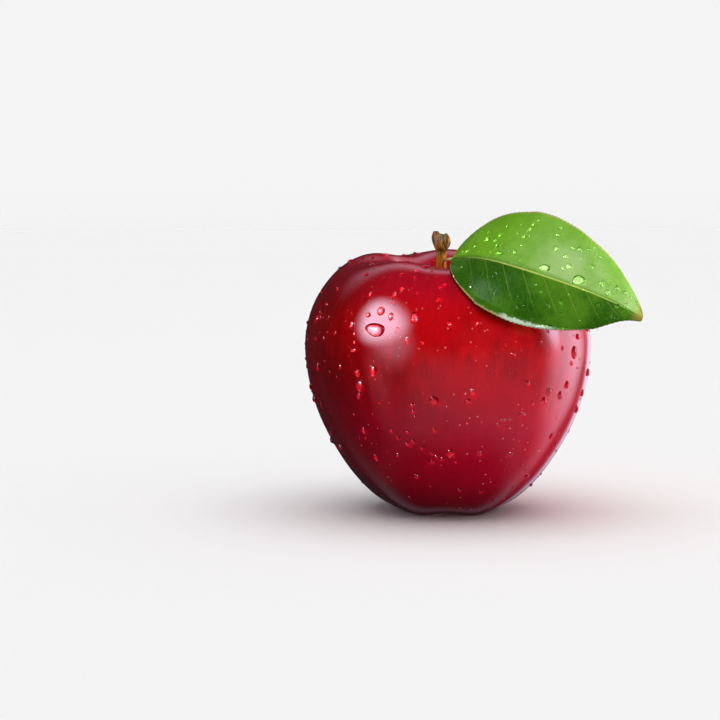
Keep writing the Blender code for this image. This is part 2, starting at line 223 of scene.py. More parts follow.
class Wiring:
    """A node tree being wired, with short calls for the nodes that the finishes share."""

    def __init__(self, tree):
        self.tree = tree

    def feed(self, socket, value):
        if isinstance(value, bpy.types.NodeSocket):
            self.tree.links.new(value, socket)
        elif socket.type == "RGBA":
            socket.default_value = (*value[:3], 1.0)
        else:
            socket.default_value = value

    def add(self, kind, inputs=None, **settings):
        made = self.tree.nodes.new("ShaderNode" + kind)
        for name, value in settings.items():
            setattr(made, name, value)
        for socket, value in (inputs or {}).items():
            self.feed(made.inputs[socket], value)
        return made

    def place(self, scale=(1.0, 1.0, 1.0), centre=AXIS):
        """Object coordinates measured from a centre, then stretched."""
        shift = [-middle * factor for middle, factor in zip(centre, scale)]
        where = self.add("TexCoord").outputs["Object"]
        return self.add("Mapping", {"Vector": where, "Location": shift, "Scale": scale}).outputs[0]

    def parts(self, vector):
        return self.add("SeparateXYZ", {0: vector}).outputs

    def join(self, x, y, z):
        return self.add("CombineXYZ", {0: x, 1: y, 2: z}).outputs[0]

    def noise(self, vector, scale, detail=2.0, rough=0.5, warp=0.0):
        made = self.add(
            "TexNoise",
            {"Vector": vector, "Scale": scale, "Detail": detail, "Roughness": rough, "Distortion": warp},
        )
        return made.outputs["Fac"]

    def cells(self, vector, scale, feature="F1"):
        made = self.add("TexVoronoi", {"Vector": vector, "Scale": scale}, feature=feature)
        return made.outputs["Distance"]

    def dot(self, first, second):
        return self.add("VectorMath", {0: first, 1: second}, operation="DOT_PRODUCT").outputs["Value"]

    def distance(self, vector):
        """The vector's own length."""
        return self.add("VectorMath", {0: vector}, operation="LENGTH").outputs["Value"]

    def math(self, operation, first, second=0.0):
        return self.add("Math", {0: first, 1: second}, operation=operation).outputs[0]

    def times(self, first, second):
        return self.math("MULTIPLY", first, second)

    def plus(self, first, second):
        return self.math("ADD", first, second)

    def span(self, value, low, high, start=0.0, end=1.0):
        """Goes smoothly from start to end as the value goes from low to high."""
        inputs = {"Value": value, "From Min": low, "From Max": high, "To Min": start, "To Max": end}
        return self.add("MapRange", inputs, interpolation_type="SMOOTHSTEP").outputs["Result"]

    def mix(self, factor, first, second):
        made = self.add("Mix", data_type="RGBA")
        # The node has sockets for every kind of data, and these are the ones for colour.
        self.feed(made.inputs[0], factor)
        self.feed(made.inputs[6], first)
        self.feed(made.inputs[7], second)
        return made.outputs[2]

    def bump(self, height, distance, strength=1.0, normal=None):
        made = self.add("Bump", {"Height": height, "Distance": distance, "Strength": strength})
        if normal is not None:
            self.feed(made.inputs["Normal"], normal)
        return made.outputs[0]


class Finish(Wiring):
    """A material on a Principled shader."""

    def __init__(self, name, fixed):
        self.material = bpy.data.materials.new(name)
        self.material.use_nodes = True
        super().__init__(self.material.node_tree)
        self.shader = self.tree.nodes["Principled BSDF"]
        for socket, value in fixed.items():
            self.surface(socket, value)

    def surface(self, socket, value):
        self.feed(self.shader.inputs[socket], value)

    def blend_clear(self, factor):
        """Lets the surface turn clear where, or for the rays whose, factor is one."""
        clear = self.add("BsdfTransparent").outputs[0]
        blend = self.add("MixShader", {0: factor, 1: self.shader.outputs[0], 2: clear})
        self.feed(self.tree.nodes["Material Output"].inputs["Surface"], blend.outputs[0])


# Shapes


def smooth_step(value):
    value = min(max(value, 0.0), 1.0)
    return value * value * (3.0 - 2.0 * value)


def bezier_run(start, start_handle, end_handle, end, steps):
    """Points from start up to, but not including, end. Each corner is (radius, height)."""
    given = (start, start_handle, end_handle, end)
    corners = [Vector((radius, 0.0, height)) for radius, height in given]
    return interpolate_bezier(*corners, steps + 1)[:-1]


def turned(outline, columns, shape):
    """A closed half outline spun about Z, each corner then moved by shape()."""
    work = bmesh.new()
    corners = [work.verts.new(point) for point in outline]
    for low, high in zip(corners, corners[1:]):
        work.edges.new((low, high))
    bmesh.ops.spin(
        work, geom=work.verts[:] + work.edges[:], axis=(0, 0, 1), cent=(0, 0, 0),
        angle=2 * math.pi, steps=columns, use_merge=True,
    )
    bmesh.ops.remove_doubles(work, verts=work.verts, dist=1e-6)
    for corner in work.verts:
        corner.co = shape(corner.co)
    bmesh.ops.recalc_face_normals(work, faces=work.faces)
    # A spin leaves its faces in another order each time, which the leaf's clearance would show.
    work.faces.sort(key=lambda face: face.calc_center_median().dot(FACE_ORDER))
    return work


def tube(work, path, radii, sides):
    """A closed tube: a ring extruded from point to point along a path."""
    ahead = (path[1] - path[0]).normalized()
    turn = Vector((0, 0, 1)).rotation_difference(ahead).to_matrix().to_4x4()
    made = bmesh.ops.create_circle(
        work, cap_ends=True, segments=sides, radius=radii[0], matrix=Matrix.Translation(path[0]) @ turn
    )
    ring = made["verts"]
    end = [face for face in ring[0].link_faces if all(corner in ring for corner in face.verts)]
    for index in range(1, len(path)):
        behind = ahead
        after = path[min(index + 1, len(path) - 1)]
        ahead = (after - path[index - 1]).normalized()
        made = bmesh.ops.extrude_face_region(work, geom=end, use_keep_orig=index == 1)
        ring = [item for item in made["geom"] if isinstance(item, bmesh.types.BMVert)]
        end = [item for item in made["geom"] if isinstance(item, bmesh.types.BMFace)]
        swing = behind.rotation_difference(ahead).to_matrix().to_4x4()
        grow = radii[index] / radii[index - 1]
        move = Matrix.Translation(path[index]) @ swing @ Matrix.Scale(grow, 4)
        bmesh.ops.transform(work, matrix=move @ Matrix.Translation(-path[index - 1]), verts=ring)


def as_mesh(name, work):
    mesh = bpy.data.meshes.new(name)
    work.to_mesh(mesh)
    work.free()
    mesh.shade_smooth()
    return mesh


def discard(name):
    """Removes an earlier make of a piece, so that its operator can be run again."""
    earlier = bpy.data.objects.get(name)
    if earlier is not None:
        bpy.data.objects.remove(earlier, do_unlink=True)


def add_piece(name, mesh, material, replaced=()):
    """Links a mesh at the origin as a piece that rides with the fruit."""
    mesh.materials.append(material)
    piece = bpy.data.objects.new(name, mesh)
    bpy.context.scene.collection.objects.link(piece)
    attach(piece, "root")
    if replaced:
        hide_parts(*replaced)
    return piece


def surface_tree(name):
    """The finished surface of a piece that is already made, to cast onto."""
    piece = bpy.data.objects.get(name)
    if piece is None:
        raise RuntimeError(f"make {name} first")
    return BVHTree.FromObject(piece, bpy.context.evaluated_depsgraph_get())


# Fruit

CAVITY_THROAT = 0.0026
FOOT_SPREAD = 0.0122
LOWER_FULLNESS = 0.0215
UPPER_FULLNESS = 0.0135
SHOULDER_SPREAD = 0.0085
WAIST_SWELL = 0.012
BASE_SWELL = 0.024
SHOULDER_SWELL = 0.018
LOBE_REACH = 0.0065
FOOT_ARCH = 0.0009
SHOULDER_DIP = 0.0014
SHOULDER_SLOPE = 0.0006
SLOPE_BEARING = math.radians(130)
OVALITY = 0.005
ROUND_CORE = 0.0045
BASIN_FULLNESS = 0.55
BASIN_STEPS = 26
# Fine folds run out of the basin from the dried flower.
FOLD_HEIGHT = 0.00022
FOLD_RING = 0.0046
FOLD_REACH = 0.0022
# Heights on the fruit between which its colour or its specks change. The lower and shoulder bands bound a
# painted reflection, and the foot band bounds painted shade.
LOWER_REFLECTION_BAND = (0.046, 0.024)
SHOULDER_REFLECTION_BAND = (0.058, 0.068)
FOOT_SHADE_BAND = (0.016, 0.001)
SPECK_BAND = (0.066, 0.046)
CAVITY_BAND = (0.050, 0.056)
BASIN_BAND = (0.020, 0.012)


def basin_outline(fruit):
    """From the middle of the basin's floor to the ring that the fruit rests on."""
    reach = BASIN_FULLNESS * fruit.foot_radius
    depth = fruit.basin_depth
    return bezier_run((0.0, depth), (reach, depth), (reach, 0.0), (fruit.foot_radius, 0.0), BASIN_STEPS)


def fruit_outline(fruit, stem):
    """From the middle of the basin, round the outside, to the bottom of the stem's socket."""
    foot = (fruit.foot_radius, 0.0)
    waist = (fruit.radius, fruit.equator)
    crest = (fruit.shoulder_radius, fruit.height)
    mouth = (stem.foot_radius + CLEARANCE, fruit.height - fruit.cavity_depth)
    outline = basin_outline(fruit)
    outline += bezier_run(
        foot, (fruit.foot_radius + FOOT_SPREAD, 0.0), (fruit.radius, fruit.equator - LOWER_FULLNESS),
        waist, 56,
    )
    outline += bezier_run(
        waist, (fruit.radius, fruit.equator + UPPER_FULLNESS),
        (fruit.shoulder_radius + SHOULDER_SPREAD, fruit.height), crest, 42,
    )
    outline += bezier_run(
        crest, (0.45 * fruit.shoulder_radius, fruit.height), (mouth[0] + CAVITY_THROAT, mouth[1]), mouth,
        34,
    )
    outline.append(Vector((mouth[0], 0.0, mouth[1])))
    outline.append(Vector((mouth[0], 0.0, mouth[1] - stem.seat)))
    outline.append(Vector((0.0, 0.0, mouth[1] - stem.seat)))
    return outline


def near_ring(radius, ring):
    return math.exp(-(((radius - ring) / LOBE_REACH) ** 2))


def lobed(point, fruit, stem):
    """A point of the turned fruit moved onto its lobes, its slope, its ripples and its pressed feet."""
    radius = math.hypot(point.x, point.y)
    azimuth = math.atan2(point.y, point.x)
    rise = point.z / fruit.height
    lobe = math.cos(fruit.lobes * (azimuth - fruit.lobe_bearing))
    valley = (1 - lobe) / 2
    base = max(0.0, 1 - rise / 0.6) ** 1.5
    shoulder = max(0.0, (rise - 0.6) / 0.4) ** 1.5
    swell = (WAIST_SWELL + BASE_SWELL * base + SHOULDER_SWELL * shoulder) * lobe
    swell += OVALITY * math.cos(2 * (azimuth - SLOPE_BEARING))
    round_core = smooth_step((radius - stem.foot_radius - CLEARANCE) / ROUND_CORE)
    swell *= round_core
    height = point.z
    if rise < 0.5:
        height += FOOT_ARCH * valley * near_ring(radius, fruit.foot_radius)
    else:
        slope = (1 - math.cos(azimuth - SLOPE_BEARING)) / 2
        height -= (SHOULDER_DIP * valley + SHOULDER_SLOPE * slope) * near_ring(
            radius, fruit.shoulder_radius
        )
    if rise < 0.14:
        fold = math.cos(2 * fruit.lobes * (azimuth - fruit.lobe_bearing))
        height += FOLD_HEIGHT * fold * math.exp(-(((radius - FOLD_RING) / FOLD_REACH) ** 2))
    ripple = fruit.ripple * noise.noise(point * 90) * round_core * smooth_step(point.z / 0.004)
    flat = radius * (1 + swell) + ripple
    height = max(height, fruit.foot_press) - fruit.foot_press
    return AXIS + Vector((flat * math.cos(azimuth), flat * math.sin(azimuth), height))


def skin_finish(fruit):
    finish = Finish(
        "apple_skin", {"Specular IOR Level": 0.02, "Coat Weight": 0.95, "Coat Roughness": 0.09}
    )
    place = finish.place()
    x, y, z = finish.parts(place)
    flat = finish.join(x, y, 0.0)
    reach = finish.distance(flat)
    around = finish.parts(finish.add("VectorMath", {0: flat}, operation="NORMALIZE").outputs[0])
    streaks = finish.join(around[0], around[1], finish.times(z, 7.0))
    # Broad clouds of colour, with streaks that run from the cavity to the basin.
    cloud = finish.noise(place, 34.0, 3.0, 0.55)
    streak = finish.noise(streaks, 16.0, 5.0, 0.62, 0.25)
    fine = finish.noise(streaks, 52.0, 3.0, 0.6, 0.4)
    depth = finish.plus(finish.times(cloud, 0.62), finish.times(streak, 0.38))
    skin = finish.mix(finish.span(depth, 0.36, 0.62), fruit.deep_red, fruit.mid_red)
    bright = finish.times(finish.span(fine, 0.52, 0.74), finish.span(depth, 0.40, 0.66, 0.10, 0.75))
    skin = finish.mix(bright, skin, fruit.bright_red)
    # Painted reflection: a cooler red below the middle and on the shoulder stands in for the surround
    # that the skin mirrors there. Painted shade darkens the foot.
    cool = finish.mix(depth, fruit.deep_red, fruit.reflection_red)
    lower = finish.span(z, *LOWER_REFLECTION_BAND, 0.0, 0.85)
    shoulder = finish.span(z, *SHOULDER_REFLECTION_BAND, 0.0, 0.6)
    skin = finish.mix(finish.math("MAXIMUM", lower, shoulder), skin, cool)
    # Painted shade: the skin darkens towards the foot.
    skin = finish.mix(finish.span(z, *FOOT_SHADE_BAND, 0.0, 0.6), skin, fruit.foot_shade)
    # Unripe green and russet round the stem and the dried flower.
    ragged = finish.times(finish.math("SUBTRACT", streak, 0.5), 0.011)
    core = finish.plus(reach, ragged)
    top = finish.times(finish.span(core, 0.0085, 0.0035), finish.span(z, *CAVITY_BAND))
    base = finish.times(finish.span(core, 0.0098, 0.0042), finish.span(z, *BASIN_BAND))
    grained = finish.mix(finish.span(fine, 0.40, 0.62), fruit.green, fruit.russet)
    skin = finish.mix(finish.math("MAXIMUM", top, base), skin, grained)
    # Pale specks, fewer on the shoulder, each in a faint halo.
    speck = finish.cells(place, 400.0)
    strength = finish.times(finish.span(cloud, 0.42, 0.62), finish.span(z, *SPECK_BAND, 0.25, 0.70))
    dot = finish.times(finish.span(speck, 0.125, 0.070), strength)
    halo = finish.times(finish.span(speck, 0.30, 0.12), 0.16)
    skin = finish.mix(halo, skin, fruit.bright_red)
    skin = finish.mix(dot, skin, fruit.lenticel)
    finish.surface("Base Color", skin)
    wax = finish.noise(place, 160.0, 4.0, 0.65)
    gloss = finish.span(wax, 0.30, 0.70, 0.30, 0.42)
    finish.surface("Roughness", finish.plus(gloss, finish.times(top, 0.25)))
    grain = finish.noise(place, 1100.0, 3.0, 0.6)
    relief = finish.bump(grain, 0.000045, 0.5)
    relief = finish.bump(finish.noise(place, 260.0, 2.0, 0.5), 0.00010, 0.5, relief)
    finish.surface("Normal", finish.bump(dot, 0.00004, 0.5, relief))
    finish.surface("Coat Normal", finish.bump(grain, 0.00002, 0.4))
    return finish.material


class APPLE_OT_fruit(bpy.types.Operator):
    """Turn the fruit's outline, swell it into lobes and give it its skin"""

    bl_idname = "apple.make_fruit"
    bl_label = "Make Fruit"

    def execute(self, context):
        fruit, stem = context.scene.apple_fruit, context.scene.apple_stem
        discard("apple_skin")
        work = turned(fruit_outline(fruit, stem), fruit.columns, lambda point: lobed(point, fruit, stem))
        add_piece("apple_skin", as_mesh("apple_skin", work), skin_finish(fruit), ["fruit"])
        return {"FINISHED"}


# Stem

STEM_LEAN_HEIGHT = 0.0125
STEM_END_SLOPE = 0.35
STEM_SIDES = 56
# The torn end rises into a horn on each side, with a hollow between them and a rough grain.
HORN = 0.0006
END_HOLLOW = 0.0003
END_DEPTH = 0.0016
END_GRAIN = 0.00035


def stem_foot(fruit, stem):
    floor = fruit.height - fruit.foot_press - fruit.cavity_depth
    return AXIS + Vector((0.0, 0.0, floor - stem.seat + CLEARANCE))


def stem_outline(stem):
    """From the middle of the foot, up the side, to the middle of the knob's cut end."""
    neck = stem.length - stem.knob_length
    seat = (stem.foot_radius, stem.seat)
    waist = (stem.radius, 0.5 * neck)
    shank = (stem.radius, neck)
    knob = (stem.knob_radius, neck + 0.62 * stem.knob_length)
    outline = [Vector((0.0, 0.0, 0.0)), Vector((stem.foot_radius, 0.0, 0.0))]
    outline += bezier_run(seat, (stem.foot_radius, 0.2 * neck), (stem.radius, 0.3 * neck), waist, 16)
    outline += bezier_run(waist, (stem.radius, 0.6 * neck), (stem.radius, 0.8 * neck), shank, 14)
    outline += bezier_run(
        shank, (stem.radius, neck + 0.25 * stem.knob_length),
        (stem.knob_radius, neck + 0.3 * stem.knob_length), knob, 18,
    )
    outline += bezier_run(
        knob, (stem.knob_radius, stem.length), (0.75 * stem.knob_radius, stem.length),
        (0.0, stem.length), 16,
    )
    outline.append(Vector((0.0, 0.0, stem.length)))
    return outline


def stem_lean(height, stem):
    return -stem.lean * smooth_step((height - stem.seat) / STEM_LEAN_HEIGHT)


def grown_stem(point, fruit, stem):
    """A point of the turned stem moved to its lean, its ridges and its torn end."""
    radius = math.hypot(point.x, point.y)
    azimuth = math.atan2(point.y, point.x)
    knob = smooth_step((point.z - (stem.length - stem.knob_length)) / stem.knob_length)
    side = smooth_step(radius / stem.radius)
    free = smooth_step((point.z - stem.seat) / 0.002)
    around = Vector((math.cos(azimuth), math.sin(azimuth), 0.0))
    ridge = noise.noise(around * 2.6 + Vector((0, 0, point.z * 120)))
    ridge += 0.5 * noise.noise(around * 6.5 + Vector((3, 0, point.z * 260)))
    lump = noise.noise(around * 1.1 + Vector((0, 7, point.z * 420)))
    spread = 1 + side * free * (0.10 * ridge + (0.04 + 0.16 * knob) * lump)
    # The knob is broad from left to right and thin from front to back.
    x = point.x * spread * (1 + 0.06 * knob)
    y = point.y * spread * (1 - 0.16 * knob)
    end = smooth_step((point.z - (stem.length - END_DEPTH)) / END_DEPTH)
    across = math.cos(azimuth) ** 2 * smooth_step(radius / stem.knob_radius / 0.7)
    z = point.z + end * (HORN * across - END_HOLLOW * (1 - across))
    z += end * END_GRAIN * noise.noise(Vector((point.x, point.y, 0.0)) * 1900)
    z -= STEM_END_SLOPE * knob * x
    moved = Vector((x + stem_lean(point.z, stem), y, min(z, stem.length + HORN)))
    return stem_foot(fruit, stem) + moved


def wood_finish(fruit, stem):
    foot = stem_foot(fruit, stem)
    finish = Finish("stem_wood", {"Specular IOR Level": 0.05})
    place = finish.place(centre=foot)
    fibre = finish.place((1.0, 1.0, 0.16), foot)
    x, _, z = finish.parts(place)
    strand = finish.noise(fibre, 1500.0, 4.0, 0.6, 0.3)
    patch = finish.noise(place, 420.0, 4.0, 0.6)
    knob = finish.span(finish.plus(z, finish.times(patch, 0.003)), 0.0150, 0.0195)
    foot_share = finish.span(z, 0.0150, 0.0060)
    wood = finish.mix(finish.span(strand, 0.38, 0.62), stem.bark, stem.wood)
    shank = finish.mix(0.62, wood, stem.wood)
    left = finish.times(finish.span(x, 0.0000, -0.0022), foot_share)
    shank = finish.mix(left, shank, stem.blush)
    rough = finish.mix(finish.span(strand, 0.46, 0.60), stem.bark, stem.grey)
    rough = finish.mix(finish.times(finish.span(patch, 0.45, 0.62), 0.55), rough, stem.wood)
    tint = finish.mix(knob, shank, rough)
    torn = finish.span(finish.plus(z, finish.times(x, 0.35)), 0.0208, 0.0222)
    tint = finish.mix(finish.times(torn, 0.75), tint, stem.bark)
    finish.surface("Base Color", tint)
    finish.surface("Roughness", finish.plus(finish.times(knob, 0.25), 0.48))
    relief = finish.bump(strand, 0.00020, 0.8)
    finish.surface("Normal", finish.bump(patch, 0.00016, 0.6, relief))
    return finish.material


class APPLE_OT_stem(bpy.types.Operator):
    """Turn the woody stem and give it its ridges, its lean and its torn knob"""

    bl_idname = "apple.make_stem"
    bl_label = "Make Stem"

    def execute(self, context):
        fruit, stem = context.scene.apple_fruit, context.scene.apple_stem
        discard("woody_stem")
        work = turned(stem_outline(stem), STEM_SIDES, lambda point: grown_stem(point, fruit, stem))
        add_piece("woody_stem", as_mesh("woody_stem", work), wood_finish(fruit, stem), ["stem"])
        return {"FINISHED"}


# Leaf

LEAF_SIDE_STEP = 0.0016
LEAF_SETBACK = 0.0018
LEAF_RISE = 0.0006
LEAF_SKEW = 0.80
LEAF_FULLNESS = 0.70
TIP_START = 0.80
UPPER_TAPER = 0.20
LOWER_TAPER = 0.60
UPPER_CURL = math.radians(-16)
LOWER_CURL = math.radians(26)
# Share of the length, then in degrees: heading, pitch, lean of the upper half, lean of the lower half.
LEAF_BENDS = (
    (0.00, -50, 10, -37, 136),
    (0.10, -46, 1, -38, 136),
    (0.30, -34, -11, -36, 147),
    (0.50, -12, -17, -31, 167),
    (0.70, 5, -21, -26, 179),
    (1.00, 23, -32, -22, 182),
)
# The midrib's direction is read this share of the length back.
BEND_LAG = 0.0125
# A tooth rises over this share of its length and drops over the rest.
TOOTH_RISE = 0.72
# A side vein leaves the midrib towards the tip and bends forward as it nears the edge.
VEIN_LAG = 0.16
VEIN_LAG_POWER = 0.85
VEIN_HOOK = 0.03
VEIN_HOOK_POWER = 3
VEIN_WIDTH = 0.0065
# The lower edge rolls outwards round this place on the length, over this reach and by this height.
ROLL_PLACE = 0.40
ROLL_REACH = 0.13
ROLL_HEIGHT = 0.0013
LEAF_WAVE = 0.00035


def leaf_base(fruit):
    crest = fruit.height - fruit.foot_press
    return AXIS + Vector((LEAF_SIDE_STEP, LEAF_SETBACK - fruit.shoulder_radius, crest + LEAF_RISE))


def leaf_bend(where):
    """Heading, pitch, upper lean and lower lean at a share of the blade's length, in radians."""
    for start, end in zip(LEAF_BENDS, LEAF_BENDS[1:]):
        if where <= end[0]:
            break
    blend = (where - start[0]) / (end[0] - start[0])
    return [math.radians(low + blend * (high - low)) for low, high in zip(start[1:], end[1:])]


def direction(heading, pitch):
    return Vector(
        (math.cos(pitch) * math.cos(heading), math.cos(pitch) * math.sin(heading), math.sin(pitch))
    )


def tooth_at(where, leaf):
    """How far a saw tooth cuts in from the edge: each leans towards the tip."""
    step = (where * leaf.teeth) % 1.0
    rise = step / TOOTH_RISE if step < TOOTH_RISE else (1 - step) / (1 - TOOTH_RISE)
    return leaf.tooth * (1 - rise) * math.sin(math.pi * where) ** 0.4


def blade_width(where, width, taper, leaf):
    full = width * math.sin(math.pi * where**LEAF_SKEW) ** LEAF_FULLNESS
    full *= 1 - taper * smooth_step((where - TIP_START) / (1 - TIP_START))
    return max(leaf.end_width + full - tooth_at(where, leaf), 0.6 * leaf.end_width)


def vein_furrow(where, side, leaf):
    """Depth of the furrows over the midrib and the side veins, with side from 0 to 1 across a half."""
    rib = leaf.rib_depth * math.exp(-((side / 0.035) ** 2)) * (1 - 0.7 * where)
    lag = where - VEIN_LAG * side**VEIN_LAG_POWER - VEIN_HOOK * side**VEIN_HOOK_POWER
    step = (lag * (leaf.vein_pairs + 1)) % 1.0
    gap = min(step, 1 - step) / (leaf.vein_pairs + 1) / VEIN_WIDTH
    fade = smooth_step(side / 0.05) * (1 - smooth_step((side - 0.70) / 0.25)) * smooth_step(lag / 0.08)
    fade *= 1 - smooth_step((lag - 0.80) / 0.1)
    return rib + leaf.vein_depth * math.exp(-(gap**2)) * fade


def leaf_rows(fruit, leaf):
    """One row of points for each station of the midrib, from the lower edge to the upper edge."""
    rows = []
    middle = leaf_base(fruit)
    for station in range(leaf.along + 1):
        where = station / leaf.along
        heading, pitch, upper_lean, lower_lean = leaf_bend(where)
        along = direction(heading, pitch)
        upright = direction(heading, pitch + math.pi / 2)
        outward = along.cross(upright)
        row = {0: middle}
        for sign, lean, curl, width, taper in (
            (1, upper_lean, UPPER_CURL, leaf.upper_width, UPPER_TAPER),
            (-1, lower_lean, LOWER_CURL, leaf.lower_width, LOWER_TAPER),
        ):
            reach = blade_width(where, width, taper, leaf) / leaf.across
            spot = middle
            for step in range(1, leaf.across + 1):
                turn = lean + curl * ((step - 0.5) / leaf.across - 0.5)
                spot = spot + (upright * math.cos(turn) + outward * math.sin(turn)) * reach
                row[sign * step] = spot
        rows.append([row[column] for column in range(-leaf.across, leaf.across + 1)])
        lagging = leaf_bend(max(where - BEND_LAG, 0.0))
        middle = middle + direction(lagging[0], lagging[1]) * (leaf.length / leaf.along)
    return rows


def edge_roll(where, side):
    """How far the wet lower edge rolls outwards."""
    reach = math.exp(-(((where - ROLL_PLACE) / ROLL_REACH) ** 2))
    return ROLL_HEIGHT * reach * smooth_step((side - 0.86) / 0.14)


def leaf_sheet(fruit, leaf, skin):
    """The blade as a sheet that clears the fruit, with its furrows, its waves and its UV map.

    It also gives 1 where the sheet's faces point to the front, and -1 where they point to the back.
    """
    rows = leaf_rows(fruit, leaf)
    work = bmesh.new()
    bmesh.ops.create_grid(work, x_segments=leaf.along, y_segments=2 * leaf.across, size=1.0)
    stations = {}
    for corner in work.verts:
        row = round((corner.co.x + 1) / 2 * leaf.along)
        column = round((corner.co.y + 1) * leaf.across)
        stations[corner] = (row / leaf.along, column / leaf.across - 1)
        corner.co = rows[row][column]
    layer = work.loops.layers.uv.new("blade")
    for face in work.faces:
        for loop in face.loops:
            loop[layer].uv = stations[loop.vert]
    bmesh.ops.recalc_face_normals(work, faces=work.faces)
    for corner in work.verts:
        near, normal, _, distance = skin.find_nearest(corner.co)
        inside = (corner.co - near).dot(normal) < 0
        if inside or distance < leaf.standoff:
            corner.co = near + normal * leaf.standoff
    work.normal_update()
    facing = 1 if sum(face.normal.y for face in work.faces) < 0 else -1
    moves = {}
    for corner in work.verts:
        where, side = stations[corner]
        out = corner.normal * facing
        wave = LEAF_WAVE * noise.noise(Vector((where * 9, side * 2.2, 4.0))) * smooth_step(abs(side) * 2)
        lift = wave - vein_furrow(where, abs(side), leaf)
        if side < 0:
            lift += edge_roll(where, -side)
        moves[corner] = out * (lift * smooth_step(where / 0.04))
    for corner, move in moves.items():
        corner.co += move
    return work, facing


def leaf_finish(leaf):
    finish = Finish(
        "leaf_blade", {"Specular IOR Level": 0.05, "Coat Weight": 0.05, "Coat Roughness": 0.20}
    )
    u, v, _ = finish.parts(finish.add("UVMap", uv_map="blade").outputs["UV"])
    place = finish.place()
    side = finish.math("ABSOLUTE", v)
    # The same side veins as in the blade's shape.
    bent = finish.times(finish.math("POWER", side, VEIN_LAG_POWER), VEIN_LAG)
    hook = finish.times(finish.math("POWER", side, VEIN_HOOK_POWER), VEIN_HOOK)
    lag = finish.math("SUBTRACT", u, finish.plus(bent, hook))
    step = finish.math("FRACT", finish.times(lag, leaf.vein_pairs + 1))
    gap = finish.math("MINIMUM", step, finish.math("SUBTRACT", 1.0, step))
    vein = finish.span(gap, 0.034, 0.008)
    vein = finish.times(vein, finish.span(side, 0.90, 0.30))
    vein = finish.times(vein, finish.span(lag, 0.02, 0.10))
    rib = finish.span(side, 0.027, 0.009)
    net = finish.cells(place, 1150.0, "DISTANCE_TO_EDGE")
    mesh = finish.span(net, 0.13, 0.02)
    coarse = finish.cells(place, 480.0, "DISTANCE_TO_EDGE")
    mesh = finish.math("MAXIMUM", finish.times(mesh, 0.55), finish.span(coarse, 0.07, 0.01))
    cloud = finish.noise(place, 70.0, 4.0, 0.6)
    # Painted light and shade: the upper half is made lighter and the lower half darker, as if the upper
    # half faced the light, over lighter patches at random.
    upper = finish.span(v, -0.05, 0.12)
    fresh_and_lit = finish.plus(finish.span(cloud, 0.38, 0.66, 0.0, 0.28), finish.times(upper, 0.78))
    green = finish.mix(fresh_and_lit, leaf.dark, leaf.fresh_and_lit)
    # A painted sheen, pale as milk, lies over the far part of the upper half, standing in for the light
    # it reflects.
    painted_sheen = finish.times(finish.span(u, 0.22, 0.60), finish.span(v, 0.00, 0.10))
    painted_sheen = finish.times(painted_sheen, finish.span(v, 1.00, 0.45, 0.35, 1.0))
    painted_sheen = finish.times(painted_sheen, finish.span(cloud, 0.34, 0.62, 0.30, 0.95))
    green = finish.mix(painted_sheen, green, leaf.milky_sheen)
    green = finish.mix(finish.times(mesh, 0.06), green, leaf.pale)
    green = finish.mix(finish.times(vein, 0.24), green, leaf.pale)
    green = finish.mix(rib, green, leaf.pale)
    worn = finish.noise(place, 900.0, 3.0, 0.6)
    edge = finish.span(finish.plus(side, finish.times(worn, 0.05)), 0.985, 1.012)
    green = finish.mix(finish.times(edge, 0.75), green, leaf.rim)
    dry = finish.span(finish.plus(u, finish.times(worn, 0.06)), 0.955, 1.03)
    green = finish.mix(finish.times(dry, 0.85), green, leaf.tip)
    # Water has run to the lower edge and lies along it, and its gleam is painted there as a pale
    # highlight.
    film_gleam = finish.times(finish.span(u, 0.37, 0.42), finish.span(u, 0.66, 0.58))
    lowest = finish.plus(v, finish.times(finish.math("SUBTRACT", worn, 0.5), 0.12))
    film_gleam = finish.times(film_gleam, finish.span(lowest, -0.91, -0.955))
    green = finish.mix(finish.times(film_gleam, 0.85), green, leaf.film_gleam)
    finish.surface("Base Color", green)
    finish.surface("Roughness", finish.span(cloud, 0.35, 0.65, 0.36, 0.46))
    relief = finish.bump(finish.math("SUBTRACT", 1.0, mesh), 0.00006, 0.6)
    relief = finish.bump(finish.noise(place, 500.0, 3.0, 0.6), 0.00010, 0.5, relief)
    finish.surface("Normal", relief)
    return finish.material


class APPLE_OT_leaf(bpy.types.Operator):
    """Model the leaf blade, folded along its midrib, with furrowed veins and a saw-toothed edge"""

    bl_idname = "apple.make_leaf"
    bl_label = "Make Leaf"

    def execute(self, context):
        fruit, leaf = context.scene.apple_fruit, context.scene.apple_leaf
        discard("leaf")
        work, facing = leaf_sheet(fruit, leaf, surface_tree("apple_skin"))
        if facing < 0:
            bmesh.ops.reverse_faces(work, faces=work.faces)
        piece = add_piece("leaf", as_mesh("leaf", work), leaf_finish(leaf), ["leaf_blade"])
        solid = piece.modifiers.new("thickness", "SOLIDIFY")
        solid.thickness = leaf.thickness
        solid.offset = 1.0
        return {"FINISHED"}


# Leaf stalk

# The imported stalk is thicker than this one, and its radius sets where both start.
STALK_SOLID_RADIUS = 0.0006
STALK_DROP = 0.0055
STALK_START_PITCH = math.radians(60)
STALK_START_PULL = 0.0070
STALK_END_PULL = 0.0050
STALK_STEPS = 40
STALK_SIDES = 14
STALK_FOOT_FLARE = 0.55
STALK_END_FLARE = 0.25
STALK_END_TAPER = 0.45


